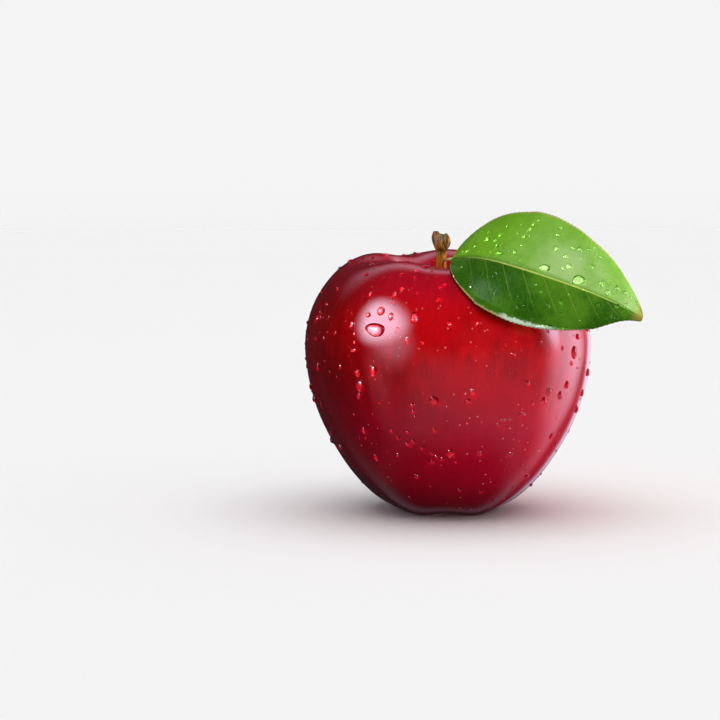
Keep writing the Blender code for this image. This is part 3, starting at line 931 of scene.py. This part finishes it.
def stalk_path(fruit, stem):
    """From the stem's side, over the rim of the cavity, into the foot of the blade."""
    foot = stem_foot(fruit, stem)
    joint = fruit.height - fruit.foot_press - STALK_DROP - foot.z
    reach = stem.radius + CLEARANCE + STALK_SOLID_RADIUS
    start = foot + Vector((stem_lean(joint, stem), -reach, joint))
    ahead = direction(*leaf_bend(0.0)[:2])
    end = leaf_base(fruit)
    start_handle = start + direction(FRONT, STALK_START_PITCH) * STALK_START_PULL
    run = interpolate_bezier(start, start_handle, end - ahead * STALK_END_PULL, end, STALK_STEPS)
    return [start + Vector((0.0, reach - 0.5 * stem.radius, -0.0004))] + run + [end + ahead * 0.0022]


def stalk_finish(stem):
    finish = Finish("leaf_stalk", {"IOR": 1.42, "Coat Weight": 0.1, "Coat Roughness": 0.2})
    place = finish.place()
    _, y, _ = finish.parts(place)
    strand = finish.noise(place, 1400.0, 3.0, 0.6)
    pink = finish.span(y, -0.0200, -0.0100)
    tint = finish.mix(pink, stem.stalk_pale, stem.stalk_pink)
    tint = finish.mix(finish.span(strand, 0.45, 0.75, 0.0, 0.5), tint, stem.blush)
    finish.surface("Base Color", tint)
    finish.surface("Roughness", finish.span(strand, 0.3, 0.7, 0.35, 0.55))
    finish.surface("Normal", finish.bump(strand, 0.00008, 0.5))
    return finish.material


class APPLE_OT_stalk(bpy.types.Operator):
    """Extrude the thin stalk from the stem, over the cavity's rim, to the blade"""

    bl_idname = "apple.make_stalk"
    bl_label = "Make Leaf Stalk"

    def execute(self, context):
        fruit, stem = context.scene.apple_fruit, context.scene.apple_stem
        discard("stalk")
        path = stalk_path(fruit, stem)
        radii = []
        for index in range(len(path)):
            where = index / (len(path) - 1)
            flare = STALK_FOOT_FLARE * math.exp(-((where / 0.10) ** 2))
            flare += STALK_END_FLARE * math.exp(-(((1 - where) / 0.15) ** 2))
            taper = 1 - STALK_END_TAPER * smooth_step((where - 0.93) / 0.07)
            radii.append(stem.stalk_radius * (1 + flare) * taper)
        work = bmesh.new()
        tube(work, path, radii, STALK_SIDES)
        bmesh.ops.recalc_face_normals(work, faces=work.faces)
        add_piece("stalk", as_mesh("stalk", work), stalk_finish(stem), ["leaf_stalk"])
        return {"FINISHED"}


# Dried flower

SEPAL_RING = 0.0026
SEPAL_FLARE = math.radians(38)
SEPAL_CURL = math.radians(-75)
SEPAL_ALONG = 26
SEPAL_ACROSS = 6
SEPAL_TIP_WIDTH = 0.0001
SEPAL_CUP = 0.00055
SEPAL_CRINKLE = 0.00012
SEPAL_SEED = 40
STAMEN_SEED = 11
STAMEN_STEPS = 7
STAMEN_SIDES = 7
# Ranges for a stamen: its turn round the ring in radians, then how far out it starts, how far down it
# reaches, how far it leans out and how far it bends aside.
STAMEN_TURN = (-0.15, 0.15)
STAMEN_RING = (0.0006, 0.0013)
STAMEN_DROP = (0.0026, 0.0040)
STAMEN_SPREAD = (0.0002, 0.0011)
STAMEN_BEND = (-0.0006, 0.0006)
STAMEN_SINK = 0.0003
# Widths along a stamen, as shares of its radius: a broad foot, a thin thread and a blunt head.
STAMEN_WIDTHS = (1.5, 1.2, 1.0, 0.9, 0.85, 1.1, 2.6, 1.5)


def basin_height(fruit, radius):
    outline = basin_outline(fruit)
    for inner, outer in zip(outline, outline[1:]):
        if radius <= outer.x:
            break
    return inner.z - fruit.foot_press


def sepal_sheet(work, fruit, flower, number):
    """A pointed sheet that hangs from the basin's floor, flaring out and curling back in."""
    chance = random.Random(SEPAL_SEED + number)
    bearing = fruit.lobe_bearing + 2 * math.pi * number / fruit.lobes
    flare = SEPAL_FLARE + math.radians(chance.uniform(-8, 6))
    curl = SEPAL_CURL + math.radians(chance.uniform(-25, 12))
    twist = chance.uniform(-0.5, 0.5)
    height = basin_height(fruit, SEPAL_RING) - CLEARANCE - flower.sepal_thickness
    turn = Matrix.Translation(AXIS) @ Matrix.Rotation(bearing, 4, "Z")
    made = bmesh.ops.create_grid(work, x_segments=SEPAL_ALONG, y_segments=2 * SEPAL_ACROSS, size=1.0)
    spots = [Vector((SEPAL_RING, 0.0, height))]
    for station in range(SEPAL_ALONG):
        lean = flare + curl * station / SEPAL_ALONG
        step = flower.sepal_length / SEPAL_ALONG
        spots.append(spots[-1] + Vector((math.sin(lean), 0.0, -math.cos(lean))) * step)
    for corner in made["verts"]:
        station = round((corner.co.x + 1) / 2 * SEPAL_ALONG)
        side = corner.co.y
        where = station / SEPAL_ALONG
        lean = flare + curl * where
        bulge = (1 - where) ** 0.65 * (1 + 0.25 * math.sin(2.6 * where))
        width = SEPAL_TIP_WIDTH + flower.sepal_half_width * bulge
        cup = SEPAL_CUP * side * side * (1 - 0.4 * where)
        cup += SEPAL_CRINKLE * noise.noise(Vector((where * 5, side * 2.5, number * 3.0)))
        out = Vector((math.cos(lean), 0.0, math.sin(lean)))
        sway = twist * width * where * side
        spot = spots[station] - out * (cup + sway) + Vector((0.0, side * width, 0.0))
        corner.co = turn @ spot


def stamen_path(number, flower, root, chance):
    """From just inside the basin's floor down, leaning out and bending a little."""
    bearing = 2 * math.pi * number / flower.stamens + chance.uniform(*STAMEN_TURN)
    out = Vector((math.cos(bearing), math.sin(bearing), 0.0))
    aside = Vector((-out.y, out.x, 0.0))
    ring = chance.uniform(*STAMEN_RING)
    drop = chance.uniform(*STAMEN_DROP)
    spread = chance.uniform(*STAMEN_SPREAD)
    bend = chance.uniform(*STAMEN_BEND)
    path = []
    for station in range(STAMEN_STEPS + 1):
        where = station / STAMEN_STEPS
        spot = AXIS + out * (ring + spread * where**1.7) + aside * bend * math.sin(2.4 * where)
        path.append(spot + Vector((0.0, 0.0, root + STAMEN_SINK - drop * where)))
    return path


def dry_finish(flower):
    finish = Finish("dried_flower", {"IOR": 1.35})
    place = finish.place()
    down = finish.noise(place, 2600.0, 4.0, 0.7)
    patch = finish.noise(place, 700.0, 3.0, 0.6)
    tint = finish.mix(finish.span(patch, 0.36, 0.66), flower.dry, flower.woolly)
    tint = finish.mix(finish.span(down, 0.52, 0.70, 0.0, 0.7), tint, flower.woolly)
    finish.surface("Base Color", tint)
    finish.surface("Roughness", finish.span(down, 0.3, 0.7, 0.80, 0.95))
    finish.surface("Normal", finish.bump(down, 0.00012, 0.9))
    return finish.material


class APPLE_OT_flower(bpy.types.Operator):
    """Model the dried sepals and stamens on the floor of the basin"""

    bl_idname = "apple.make_flower"
    bl_label = "Make Dried Flower"

    def execute(self, context):
        fruit, flower = context.scene.apple_fruit, context.scene.apple_flower
        discard("sepals")
        discard("stamens")
        finish = dry_finish(flower)
        work = bmesh.new()
        for number in range(1, fruit.lobes + 1):
            sepal_sheet(work, fruit, flower, number)
        bmesh.ops.recalc_face_normals(work, faces=work.faces)
        bmesh.ops.solidify(work, geom=work.faces[:], thickness=flower.sepal_thickness)
        bmesh.ops.recalc_face_normals(work, faces=work.faces)
        add_piece("sepals", as_mesh("sepals", work), finish, SEPALS)
        work = bmesh.new()
        chance = random.Random(STAMEN_SEED)
        root = basin_height(fruit, 0.0)
        radii = [flower.stamen_radius * width for width in STAMEN_WIDTHS]
        for number in range(flower.stamens):
            tube(work, stamen_path(number, flower, root, chance), radii, STAMEN_SIDES)
        bmesh.ops.recalc_face_normals(work, faces=work.faces)
        add_piece("stamens", as_mesh("stamens", work), finish, ["stamen_tuft"])
        return {"FINISHED"}


# Water beads

# Large beads on the side that faces the camera. In millimetres: how far right of the fruit's axis and
# above its middle, then half the width and half the height of the bead.
FRONT_BEADS = (
    (-19.5, 14.0, 3.0, 1.8), (-21.5, 18.0, 0.75, 0.75), (-18.0, 19.0, 1.05, 1.3), (-15.3, 17.5, 0.7, 1.1),
    (-14.6, 21.2, 0.5, 0.5), (-9.0, 17.0, 1.1, 1.7), (-13.5, 14.2, 0.4, 0.4), (-25.7, 15.5, 0.7, 1.2),
    (-25.0, 13.0, 0.6, 0.6), (-20.8, 23.5, 0.7, 1.0), (-14.4, 23.3, 0.85, 1.15), (-25.3, 8.5, 1.2, 0.65),
    (-20.0, 3.0, 1.2, 1.5), (-23.5, -1.0, 1.6, 1.6), (-11.0, 11.3, 0.45, 1.2), (-30.0, 25.4, 0.6, 0.7),
    (-32.5, 17.5, 0.6, 0.8), (-33.4, 21.2, 0.5, 0.6), (-35.2, 24.9, 0.5, 0.7), (-2.4, 22.0, 0.9, 0.9),
    (-12.5, 29.0, 0.6, 0.6), (-5.7, 32.0, 0.5, 0.5), (-8.3, 36.4, 0.9, 0.5), (-17.5, 35.5, 2.2, 0.7),
    (-27.3, 33.6, 0.9, 0.8), (-3.5, -5.2, 1.3, 1.5), (-9.4, -6.3, 0.8, 0.8), (-18.4, -5.7, 0.45, 0.45),
    (-10.7, -13.5, 0.5, 0.5), (-3.0, -20.3, 0.6, 0.6), (0.7, -19.2, 1.2, 1.2), (5.5, -5.2, 0.8, 0.8),
    (26.0, -5.0, 1.0, 1.0), (30.6, -3.5, 0.85, 1.3), (22.8, -6.0, 0.6, 0.9), (15.0, -10.4, 0.7, 0.7),
    (20.0, -8.8, 1.3, 0.7), (37.3, -2.9, 0.7, 1.0), (28.4, -14.7, 0.8, 1.0), (29.8, -17.0, 0.6, 0.8),
    (21.3, -0.4, 1.0, 0.9), (34.5, 8.2, 1.15, 1.8), (0.5, 15.5, 0.5, 1.1), (27.0, 14.4, 0.5, 1.2),
    (25.0, 10.6, 0.5, 0.9), (12.5, 3.0, 0.4, 0.5), (8.0, 9.5, 0.4, 0.4), (-29.0, 4.0, 0.6, 0.8),
)
# The same on the leaf: share of the length, share of the half's width (below the midrib is negative),
# then half the width and half the height in millimetres.
LEAF_BEADS = (
    (0.17, 0.42, 1.0, 0.8), (0.12, 0.30, 0.55, 0.6), (0.22, 0.40, 0.6, 0.55), (0.36, 0.78, 0.5, 0.6),
    (0.36, 0.66, 0.55, 0.7), (0.35, 0.52, 0.6, 0.6), (0.27, 0.18, 1.3, 0.5), (0.34, 0.22, 0.6, 0.6),
    (0.50, 0.72, 0.6, 0.6), (0.52, 0.50, 0.7, 0.8), (0.60, 0.30, 0.95, 0.95), (0.62, 0.66, 0.7, 0.9),
    (0.70, 0.50, 0.8, 0.7), (0.66, 0.14, 1.9, 1.5), (0.50, 0.12, 1.6, 1.1), (0.76, 0.30, 0.8, 0.9),
    (0.80, 0.16, 0.7, 0.9), (0.84, 0.45, 0.7, 0.7), (0.86, -0.10, 0.9, 0.6), (0.90, 0.15, 0.8, 0.6),
    (0.78, -0.22, 0.9, 0.6), (0.30, -0.35, 0.55, 0.4), (0.22, -0.72, 0.7, 0.35), (0.34, -0.62, 0.5, 0.3),
    (0.44, -0.50, 0.45, 0.35), (0.62, -0.40, 0.5, 0.7), (0.52, -0.82, 0.6, 0.35), (0.12, -0.40, 0.4, 0.4),
    (0.50, -0.95, 2.0, 0.40), (0.58, -0.95, 2.4, 0.45), (0.66, -0.95, 1.6, 0.35),
)
# Segments and rings of a bead: large ones are fine, and the many small ones are coarse.
FINE_BEAD = (28, 14)
COARSE_BEAD = (12, 6)
# A scattered bead on the fruit is a fine one over this radius, and any bead on the leaf over the next.
FINE_ON_FRUIT = 0.0007
FINE_ON_LEAF = 0.0005
# The higher the power, the fewer of the scattered beads are large.
FRUIT_SIZE_POWER = 3.2
LEAF_SIZE_POWER = 2.4
# The largest scattered bead on the leaf, as a share of the largest on the fruit.
LEAF_LARGEST = 0.65
# Beads keep this many times the sum of their radii apart.
BEAD_SPACING = 1.15
# How deep a bead reaches under the surface, as a share of its height, and at the least.
BEAD_SINK = 0.06
LEAST_SINK = 0.00004
# A wide bead is flatter than a small one, by this much for each metre of its half width.
BEAD_FLATTENING = 260
# The outline's painted shade is weaker at a bead's lower left, seen from outside, where the light
# gathers.
OUTLINE_SHIFT = 0.15
# The dome is higher towards its lower side and flatter towards its upper side by this share.
BEAD_SAG = 0.18
# The chance that a scattered bead stays: at the fruit's foot, and what the full height adds to it.
FOOT_CHANCE = 0.35
RISE_CHANCE = 0.9
# No scattered bead lies nearer to the leaf than this.
LEAF_MARGIN = 0.0022


def bead(work, spot, normal, down, half_width, half_height, rise, chance, fine):
    """A low dome of water on a surface, closed just under it, heavier towards its lower side."""
    segments, rings = FINE_BEAD if fine else COARSE_BEAD
    drop = bmesh.new()
    bmesh.ops.create_uvsphere(drop, u_segments=segments, v_segments=rings, radius=1.0)
    rim = drop.verts.layers.float.new("rim")
    below = (down - normal * down.dot(normal)).normalized()
    aside = below.cross(normal)
    first, second = chance.uniform(0, 2 * math.pi), chance.uniform(0, 2 * math.pi)
    uneven = chance.uniform(0.02, 0.10)
    narrow = min(half_width, half_height)
    height = rise * narrow / (1 + BEAD_FLATTENING * narrow)
    sink = max(BEAD_SINK * height, LEAST_SINK)
    for corner in drop.verts:
        x, y, z = corner.co
        # How far out a corner lies, which sets the painted shade of the outline.
        corner[rim] = math.hypot(x, y) - OUTLINE_SHIFT * (x + y)
        azimuth = math.atan2(y, x)
        outline = 1 + uneven * math.cos(2 * azimuth + first) + uneven * math.cos(3 * azimuth + second)
        x, y = x * outline * half_width, y * outline * half_height
        dome = height * z * (1 + BEAD_SAG * corner.co.y) if z > 0 else sink * z
        corner.co = spot + aside * x + below * y + normal * dome
    pour(drop, work)


def pour(small, work):
    """Adds a small bmesh to a large one, which is much quicker than making it there."""
    carrier = bpy.data.meshes.new("carrier")
    small.to_mesh(carrier)
    small.free()
    work.from_mesh(carrier)
    bpy.data.meshes.remove(carrier)


def bead_size(chance, smallest, largest, power):
    """A bead's radius: many are small and few are large."""
    return smallest + (largest - smallest) * chance.random() ** power


def crowded(taken, spot, reach):
    return any((spot - other).length < BEAD_SPACING * (reach + far) for other, far in taken)


def camera_axes(stage):
    """Forward, right and up of the camera that looks at the fruit's front."""
    forward = Vector((0.0, math.cos(stage.elevation), -math.sin(stage.elevation)))
    right = Vector((1.0, 0.0, 0.0))
    return forward, right, right.cross(forward)


def water_finish(name, clear, outline):
    finish = Finish(name, {"Roughness": 0.0, "IOR": 1.333, "Transmission Weight": 1.0})
    # A bead bends the light away from its rim, which shows as a dark outline; here that outline is
    # painted shade in the water's colour.
    rim = finish.add("Attribute", attribute_name="rim").outputs["Fac"]
    finish.surface("Base Color", finish.mix(finish.span(rim, 0.42, 0.88), clear, outline))
    # Light passes straight through to the skin, so a bead throws no shadow of its own.
    finish.blend_clear(finish.add("LightPath").outputs["Is Shadow Ray"])
    return finish.material


class APPLE_OT_fruit_beads(bpy.types.Operator):
    """Set the large water beads on the fruit's front and scatter small ones all round"""

    bl_idname = "apple.make_fruit_beads"
    bl_label = "Make Fruit Beads"

    def execute(self, context):
        scene = context.scene
        beads, stage, fruit = scene.apple_beads, scene.apple_stage, scene.apple_fruit
        discard("beads_on_fruit")
        skin = surface_tree("apple_skin")
        leaf = surface_tree("leaf")
        chance = random.Random(beads.seed)
        forward, right, up = camera_axes(stage)
        middle = AXIS + Vector((0.0, 0.0, stage.middle))
        down = Vector((0.0, 0.0, -1.0))
        taken = []
        work = bmesh.new()
        for across, above, half_width, half_height in FRONT_BEADS:
            start = middle + right * (across / 1000) + up * (above / 1000) - forward * 0.2
            spot, normal, _, _ = skin.ray_cast(start, forward)
            if spot is None:
                continue
            half_width, half_height = half_width / 1000, half_height / 1000
            taken.append((spot, max(half_width, half_height)))
            bead(work, spot, normal, down, half_width, half_height, beads.height, chance, True)
        for _ in range(beads.fruit_beads):
            bearing = chance.uniform(0, 2 * math.pi)
            tilt = math.asin(chance.uniform(-0.80, 1.0))
            reach = bead_size(chance, beads.smallest, beads.largest, FRUIT_SIZE_POWER)
            stretch = 1 + chance.random() * 0.35
            start = middle + direction(bearing, tilt) * 0.2
            spot, normal, _, _ = skin.ray_cast(start, middle - start)
            dropped = chance.random() > FOOT_CHANCE + RISE_CHANCE * spot.z / fruit.height
            hidden = leaf.find_nearest(spot)[3] < LEAF_MARGIN
            if dropped or hidden or crowded(taken, spot, reach):
                continue
            taken.append((spot, reach))
            steep = 1 - abs(normal.z)
            tall = reach * (1 + (stretch - 1) * steep)
            bead(work, spot, normal, down, reach, tall, beads.height, chance, reach > FINE_ON_FRUIT)
        water = water_finish("water_on_fruit", beads.clear, beads.on_fruit)
        add_piece("beads_on_fruit", as_mesh("beads_on_fruit", work), water)
        return {"FINISHED"}


class APPLE_OT_leaf_beads(bpy.types.Operator):
    """Set the water beads on the face of the leaf"""

    bl_idname = "apple.make_leaf_beads"
    bl_label = "Make Leaf Beads"

    def execute(self, context):
        scene = context.scene
        beads, fruit, leaf = scene.apple_beads, scene.apple_fruit, scene.apple_leaf
        discard("beads_on_leaf")
        blade = surface_tree("leaf")
        chance = random.Random(beads.seed + 1)
        rows = leaf_rows(fruit, leaf)
        down = Vector((0.0, 0.0, -1.0))
        wanted = [
            (where, side, half_width / 1000, half_height / 1000)
            for where, side, half_width, half_height in LEAF_BEADS
        ]
        for _ in range(beads.leaf_beads):
            size = bead_size(chance, beads.smallest, beads.largest * LEAF_LARGEST, LEAF_SIZE_POWER)
            wanted.append((chance.uniform(0.05, 0.95), chance.uniform(-0.85, 0.92), size, size))
        taken = []
        work = bmesh.new()
        for where, side, half_width, half_height in wanted:
            row = rows[round(where * leaf.along)]
            column = round((side + 1) * leaf.across)
            spot = row[column]
            outward = direction(leaf_bend(where)[0], 0.0).cross(Vector((0.0, 0.0, 1.0)))
            spot, normal, _, _ = blade.ray_cast(spot + outward * 0.02, -outward)
            reach = max(half_width, half_height)
            if spot is None or crowded(taken, spot, reach):
                continue
            taken.append((spot, reach))
            fine = reach > FINE_ON_LEAF
            bead(work, spot, normal, down, half_width, half_height, beads.height, chance, fine)
        water = water_finish("water_on_leaf", beads.clear, beads.on_leaf)
        add_piece("beads_on_leaf", as_mesh("beads_on_leaf", work), water)
        return {"FINISHED"}


# Stage

# Shares of its radius between which the floor fades into the surround.
FLOOR_FADE = (0.08, 0.5)
# Its darker grain, as a share of its colour.
FLOOR_GRAIN = 0.985
FLOOR_SIDES = 96
SENSOR_WIDTH = 36.0
# Soft boxes: towards, distance, width and height, power. They light the pieces and don't gleam in them.
# The last one lights the floor only, and the others leave it out.
LIGHTS = {
    "key_light": ((-0.75, -0.19, 0.64), 2.2, (2.1, 2.1), 4),
    "front_light": ((0.45, -0.83, 0.33), 2.2, (2.0, 2.0), 38),
    "side_light": ((0.88, 0.38, 0.20), 2.0, (0.75, 0.9), 58),
    "floor_light": ((0.0, 0.0, 1.0), 2.5, (4.2, 4.2), 73),
}
# The same for the specks, which gleam in the water beads and light nothing.
SPECKS = {
    "left_speck": ((-0.60, -0.55, 0.58), 2.2, (0.5, 0.5), 80),
    "right_speck": ((0.72, -0.50, 0.48), 2.2, (0.4, 0.4), 40),
}
SPECK_TINT = (1.00, 0.90, 1.05)
GLOW_TINT = (0.95, 0.88, 1.12)
# Levels of the surround that the skin mirrors: the upper front and its top, the lower front with its
# left end and its very bottom, the back and its top, and the right with its lower part and its top.
FRONT_LEVEL, FRONT_TOP_LEVEL = 0.01, 0.05
LOW_LEVEL, LOW_LEFT_LEVEL, LOWEST_LEVEL = 0.46, 0.03, 0.02
BACK_LEVEL, BACK_TOP_LEVEL = 0.02, 1.00
RIGHT_LEVEL, RIGHT_LOW_LEVEL, RIGHT_TOP_LEVEL = 3.00, 0.05, 0.60
# Levels of the even light, as shares of the fill, and the level from below.
EVEN_LEFT, EVEN_RIGHT, EVEN_TOP = 0.45, 1.40, 0.60
EVEN_BELOW_LEVEL = 0.05
# Bright oval patches of the surround that the skin mirrors: towards, half width and half height, how
# soft the edge is, and the level.
WINDOWS = (
    ((-0.78, -0.58, -0.15), (0.17, 0.42), 0.90, 0.5),
    ((-0.62, -0.76, 0.19), (0.22, 0.28), 0.75, 2.8),
    ((-0.72, -0.45, 0.50), (0.37, 0.33), 0.45, 15.0),
    ((0.95, 0.20, 0.25), (0.13, 0.19), 0.65, 8.5),
)


def floor_finish(stage):
    finish = Finish("pale_floor", {"Roughness": 0.9, "Specular IOR Level": 0.1})
    place = finish.place(centre=(0.0, 0.0, 0.0))
    far = finish.distance(place)
    grain = finish.noise(place, 6.0, 2.0)
    tint = [FLOOR_GRAIN * part for part in stage.floor]
    finish.surface("Base Color", finish.mix(grain, stage.floor, tint))
    fade = finish.span(far, *(part * stage.floor_radius for part in FLOOR_FADE))
    # The skin mirrors the surround in its place, so no hard edge of it shows.
    finish.blend_clear(finish.math("MAXIMUM", fade, finish.add("LightPath").outputs["Is Glossy Ray"]))
    return finish.material


def add_lamp(middle, name, towards, distance, size, power, gleams):
    """A soft box that faces the fruit. It either lights the pieces or only gleams in them."""
    discard(name)
    lamp = bpy.data.lights.new(name, "AREA")
    lamp.shape = "ELLIPSE"
    lamp.size, lamp.size_y = size
    lamp.energy = power
    if gleams:
        lamp.color = SPECK_TINT
    made = bpy.data.objects.new(name, lamp)
    towards = Vector(towards).normalized()
    made.location = middle + towards * distance
    made.rotation_euler = towards.to_track_quat("Z", "Y").to_euler()
    made.visible_camera = False
    made.visible_diffuse = not gleams
    made.visible_glossy = gleams
    made.visible_transmission = False
    bpy.context.scene.collection.objects.link(made)


def limit(lamp, names, state):
    """Lets a lamp reach only the named pieces, or every piece but them."""
    reached = bpy.data.collections.new(lamp)
    for name in names:
        reached.objects.link(bpy.data.objects[name])
    for entry in reached.collection_objects:
        entry.light_linking.link_state = state
    bpy.data.objects[lamp].light_linking.receiver_collection = reached


def glow(level):
    """The surround as the skin mirrors it, a little cool."""
    return [part * level for part in GLOW_TINT]


def grey(level):
    return (level, level, level)


def window(wiring, behind, towards, half_sizes, soft, level):
    """A bright oval patch of the surround with a soft edge."""
    seen = wiring.add("TexCoord").outputs["Generated"]
    aside = towards.cross(Vector((0.0, 0.0, 1.0))).normalized()
    across = wiring.dot(seen, aside / half_sizes[0])
    upright = wiring.dot(seen, aside.cross(towards) / half_sizes[1])
    off = wiring.distance(wiring.join(across, upright, 0.0))
    mask = wiring.span(off, 1 + soft, 1 - soft)
    mask = wiring.times(mask, wiring.span(wiring.dot(seen, towards), 0.0, 0.2))
    return wiring.mix(mask, behind, glow(level))


def wire_world(stage):
    """What the camera sees of the surround, what the skin mirrors of it, and its even light."""
    world = bpy.data.worlds.new("surround")
    bpy.context.scene.world = world
    world.use_nodes = True
    wiring = Wiring(world.node_tree)
    x, y, z = wiring.parts(wiring.add("TexCoord").outputs["Generated"])
    # What the skin mirrors. Each span goes over one part, from -1 to 1, of the direction looked in.
    front = wiring.mix(wiring.span(z, 0.20, 0.90), glow(FRONT_LEVEL), glow(FRONT_TOP_LEVEL))
    low = wiring.mix(wiring.span(z, -0.66, -0.94), glow(LOW_LEVEL), glow(LOWEST_LEVEL))
    low = wiring.mix(wiring.span(x, -0.75, -0.15), glow(LOW_LEFT_LEVEL), low)
    front = wiring.mix(wiring.span(z, 0.36, -0.36), front, low)
    back = wiring.mix(wiring.span(z, 0.30, 0.70), glow(BACK_LEVEL), glow(BACK_TOP_LEVEL))
    mirrored = wiring.mix(wiring.span(y, 0.46, 0.80), front, back)
    right = wiring.mix(wiring.span(z, -0.05, -0.75), glow(RIGHT_LEVEL), glow(RIGHT_LOW_LEVEL))
    right = wiring.mix(wiring.span(z, 0.35, 0.75), right, glow(RIGHT_TOP_LEVEL))
    rim = wiring.times(wiring.span(x, 0.05, 0.30, 0.0, 0.6), wiring.span(y, 0.86, 0.97))
    side = wiring.times(wiring.span(x, 0.45, 0.80), wiring.span(y, -0.20, 0.30))
    mirrored = wiring.mix(wiring.math("MAXIMUM", rim, side), mirrored, right)
    for towards, half_sizes, soft, level in WINDOWS:
        mirrored = window(wiring, mirrored, Vector(towards).normalized(), half_sizes, soft, level)
    # The even light on everything.
    left_to_right = wiring.span(x, -1.0, 1.0)
    even = wiring.mix(left_to_right, grey(EVEN_LEFT * stage.fill), grey(EVEN_RIGHT * stage.fill))
    even = wiring.mix(wiring.span(z, 0.00, -0.40), even, grey(EVEN_BELOW_LEVEL))
    even = wiring.mix(wiring.span(z, 0.40, 1.00), even, grey(EVEN_TOP * stage.fill))
    rays = wiring.add("LightPath").outputs
    # Light that the water has bent is left out, because it also reaches the skin straight through it.
    scattered = wiring.math("MINIMUM", rays["Diffuse Depth"], 1.0)
    even = wiring.mix(wiring.times(rays["Is Transmission Ray"], scattered), even, grey(0.0))
    light = wiring.mix(rays["Is Glossy Ray"], even, mirrored)
    light = wiring.mix(rays["Is Camera Ray"], light, stage.surround)
    wiring.feed(world.node_tree.nodes["Background"].inputs["Color"], light)


def add_floor(stage):
    discard("floor")
    work = bmesh.new()
    bmesh.ops.create_circle(work, cap_ends=True, segments=FLOOR_SIDES, radius=stage.floor_radius)
    floor = bpy.data.objects.new("floor", as_mesh("floor", work))
    floor.data.materials.append(floor_finish(stage))
    floor.visible_diffuse = False
    bpy.context.scene.collection.objects.link(floor)


def add_lamps(middle):
    for name, setting in LIGHTS.items():
        add_lamp(middle, name, *setting, gleams=False)
    for name, setting in SPECKS.items():
        add_lamp(middle, name, *setting, gleams=True)
    for name in LIGHTS:
        limit(name, ("floor",), "INCLUDE" if name == "floor_light" else "EXCLUDE")
    for name in SPECKS:
        limit(name, ("beads_on_fruit", "beads_on_leaf"), "INCLUDE")


def add_camera(stage, middle):
    discard("camera")
    forward, right, up = camera_axes(stage)
    camera = bpy.data.objects.new("camera", bpy.data.cameras.new("camera"))
    camera.data.lens = stage.lens
    camera.data.sensor_width = SENSOR_WIDTH
    camera.data.clip_start, camera.data.clip_end = 0.01, 20.0
    camera.location = middle - forward * stage.distance
    aim = middle - right * stage.aim_left + up * stage.aim_up
    camera.rotation_euler = (aim - camera.location).to_track_quat("-Z", "Y").to_euler()
    bpy.context.scene.collection.objects.link(camera)
    bpy.context.scene.camera = camera


class APPLE_OT_stage(bpy.types.Operator):
    """Make the pale floor, the soft lights, the surround and the camera"""

    bl_idname = "apple.make_stage"
    bl_label = "Make Stage"

    def execute(self, context):
        stage = context.scene.apple_stage
        middle = AXIS + Vector((0.0, 0.0, stage.middle))
        add_floor(stage)
        add_lamps(middle)
        wire_world(stage)
        add_camera(stage, middle)
        context.scene.view_settings.view_transform = "Standard"
        return {"FINISHED"}


class APPLE_PT_panel(bpy.types.Panel):
    """Makes the apple piece by piece"""

    bl_idname = "APPLE_PT_panel"
    bl_label = "Apple"
    bl_space_type = "VIEW_3D"
    bl_region_type = "UI"
    bl_category = "Apple"

    def draw(self, context):
        scene = context.scene
        for group, operators in GROUPS:
            box = self.layout.box()
            settings = getattr(scene, group)
            for name in settings.__annotations__:
                box.prop(settings, name)
            for operator in operators:
                box.operator(operator)


GROUPS = (
    ("apple_fruit", ["apple.make_fruit"]),
    ("apple_stem", ["apple.make_stem", "apple.make_stalk"]),
    ("apple_leaf", ["apple.make_leaf"]),
    ("apple_flower", ["apple.make_flower"]),
    ("apple_beads", ["apple.make_fruit_beads", "apple.make_leaf_beads"]),
    ("apple_stage", ["apple.make_stage"]),
)
SETTINGS = (
    ("apple_fruit", AppleFruitSettings),
    ("apple_stem", AppleStemSettings),
    ("apple_leaf", AppleLeafSettings),
    ("apple_flower", AppleFlowerSettings),
    ("apple_beads", AppleBeadSettings),
    ("apple_stage", AppleStageSettings),
)
CLASSES = (
    APPLE_OT_fruit,
    APPLE_OT_stem,
    APPLE_OT_leaf,
    APPLE_OT_stalk,
    APPLE_OT_flower,
    APPLE_OT_fruit_beads,
    APPLE_OT_leaf_beads,
    APPLE_OT_stage,
    APPLE_PT_panel,
)


def register():
    for name, group in SETTINGS:
        bpy.utils.register_class(group)
        setattr(bpy.types.Scene, name, PointerProperty(type=group))
    for made in CLASSES:
        bpy.utils.register_class(made)


def unregister():
    for made in reversed(CLASSES):
        bpy.utils.unregister_class(made)
    for name, group in reversed(SETTINGS):
        delattr(bpy.types.Scene, name)
        bpy.utils.unregister_class(group)


def main():
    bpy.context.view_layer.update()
    register()
    bpy.ops.apple.make_fruit()
    bpy.ops.apple.make_stem()
    bpy.ops.apple.make_leaf()
    bpy.ops.apple.make_stalk()
    bpy.ops.apple.make_flower()
    bpy.ops.apple.make_fruit_beads()
    bpy.ops.apple.make_leaf_beads()
    bpy.ops.apple.make_stage()


if __name__ == "__main__":
    main()
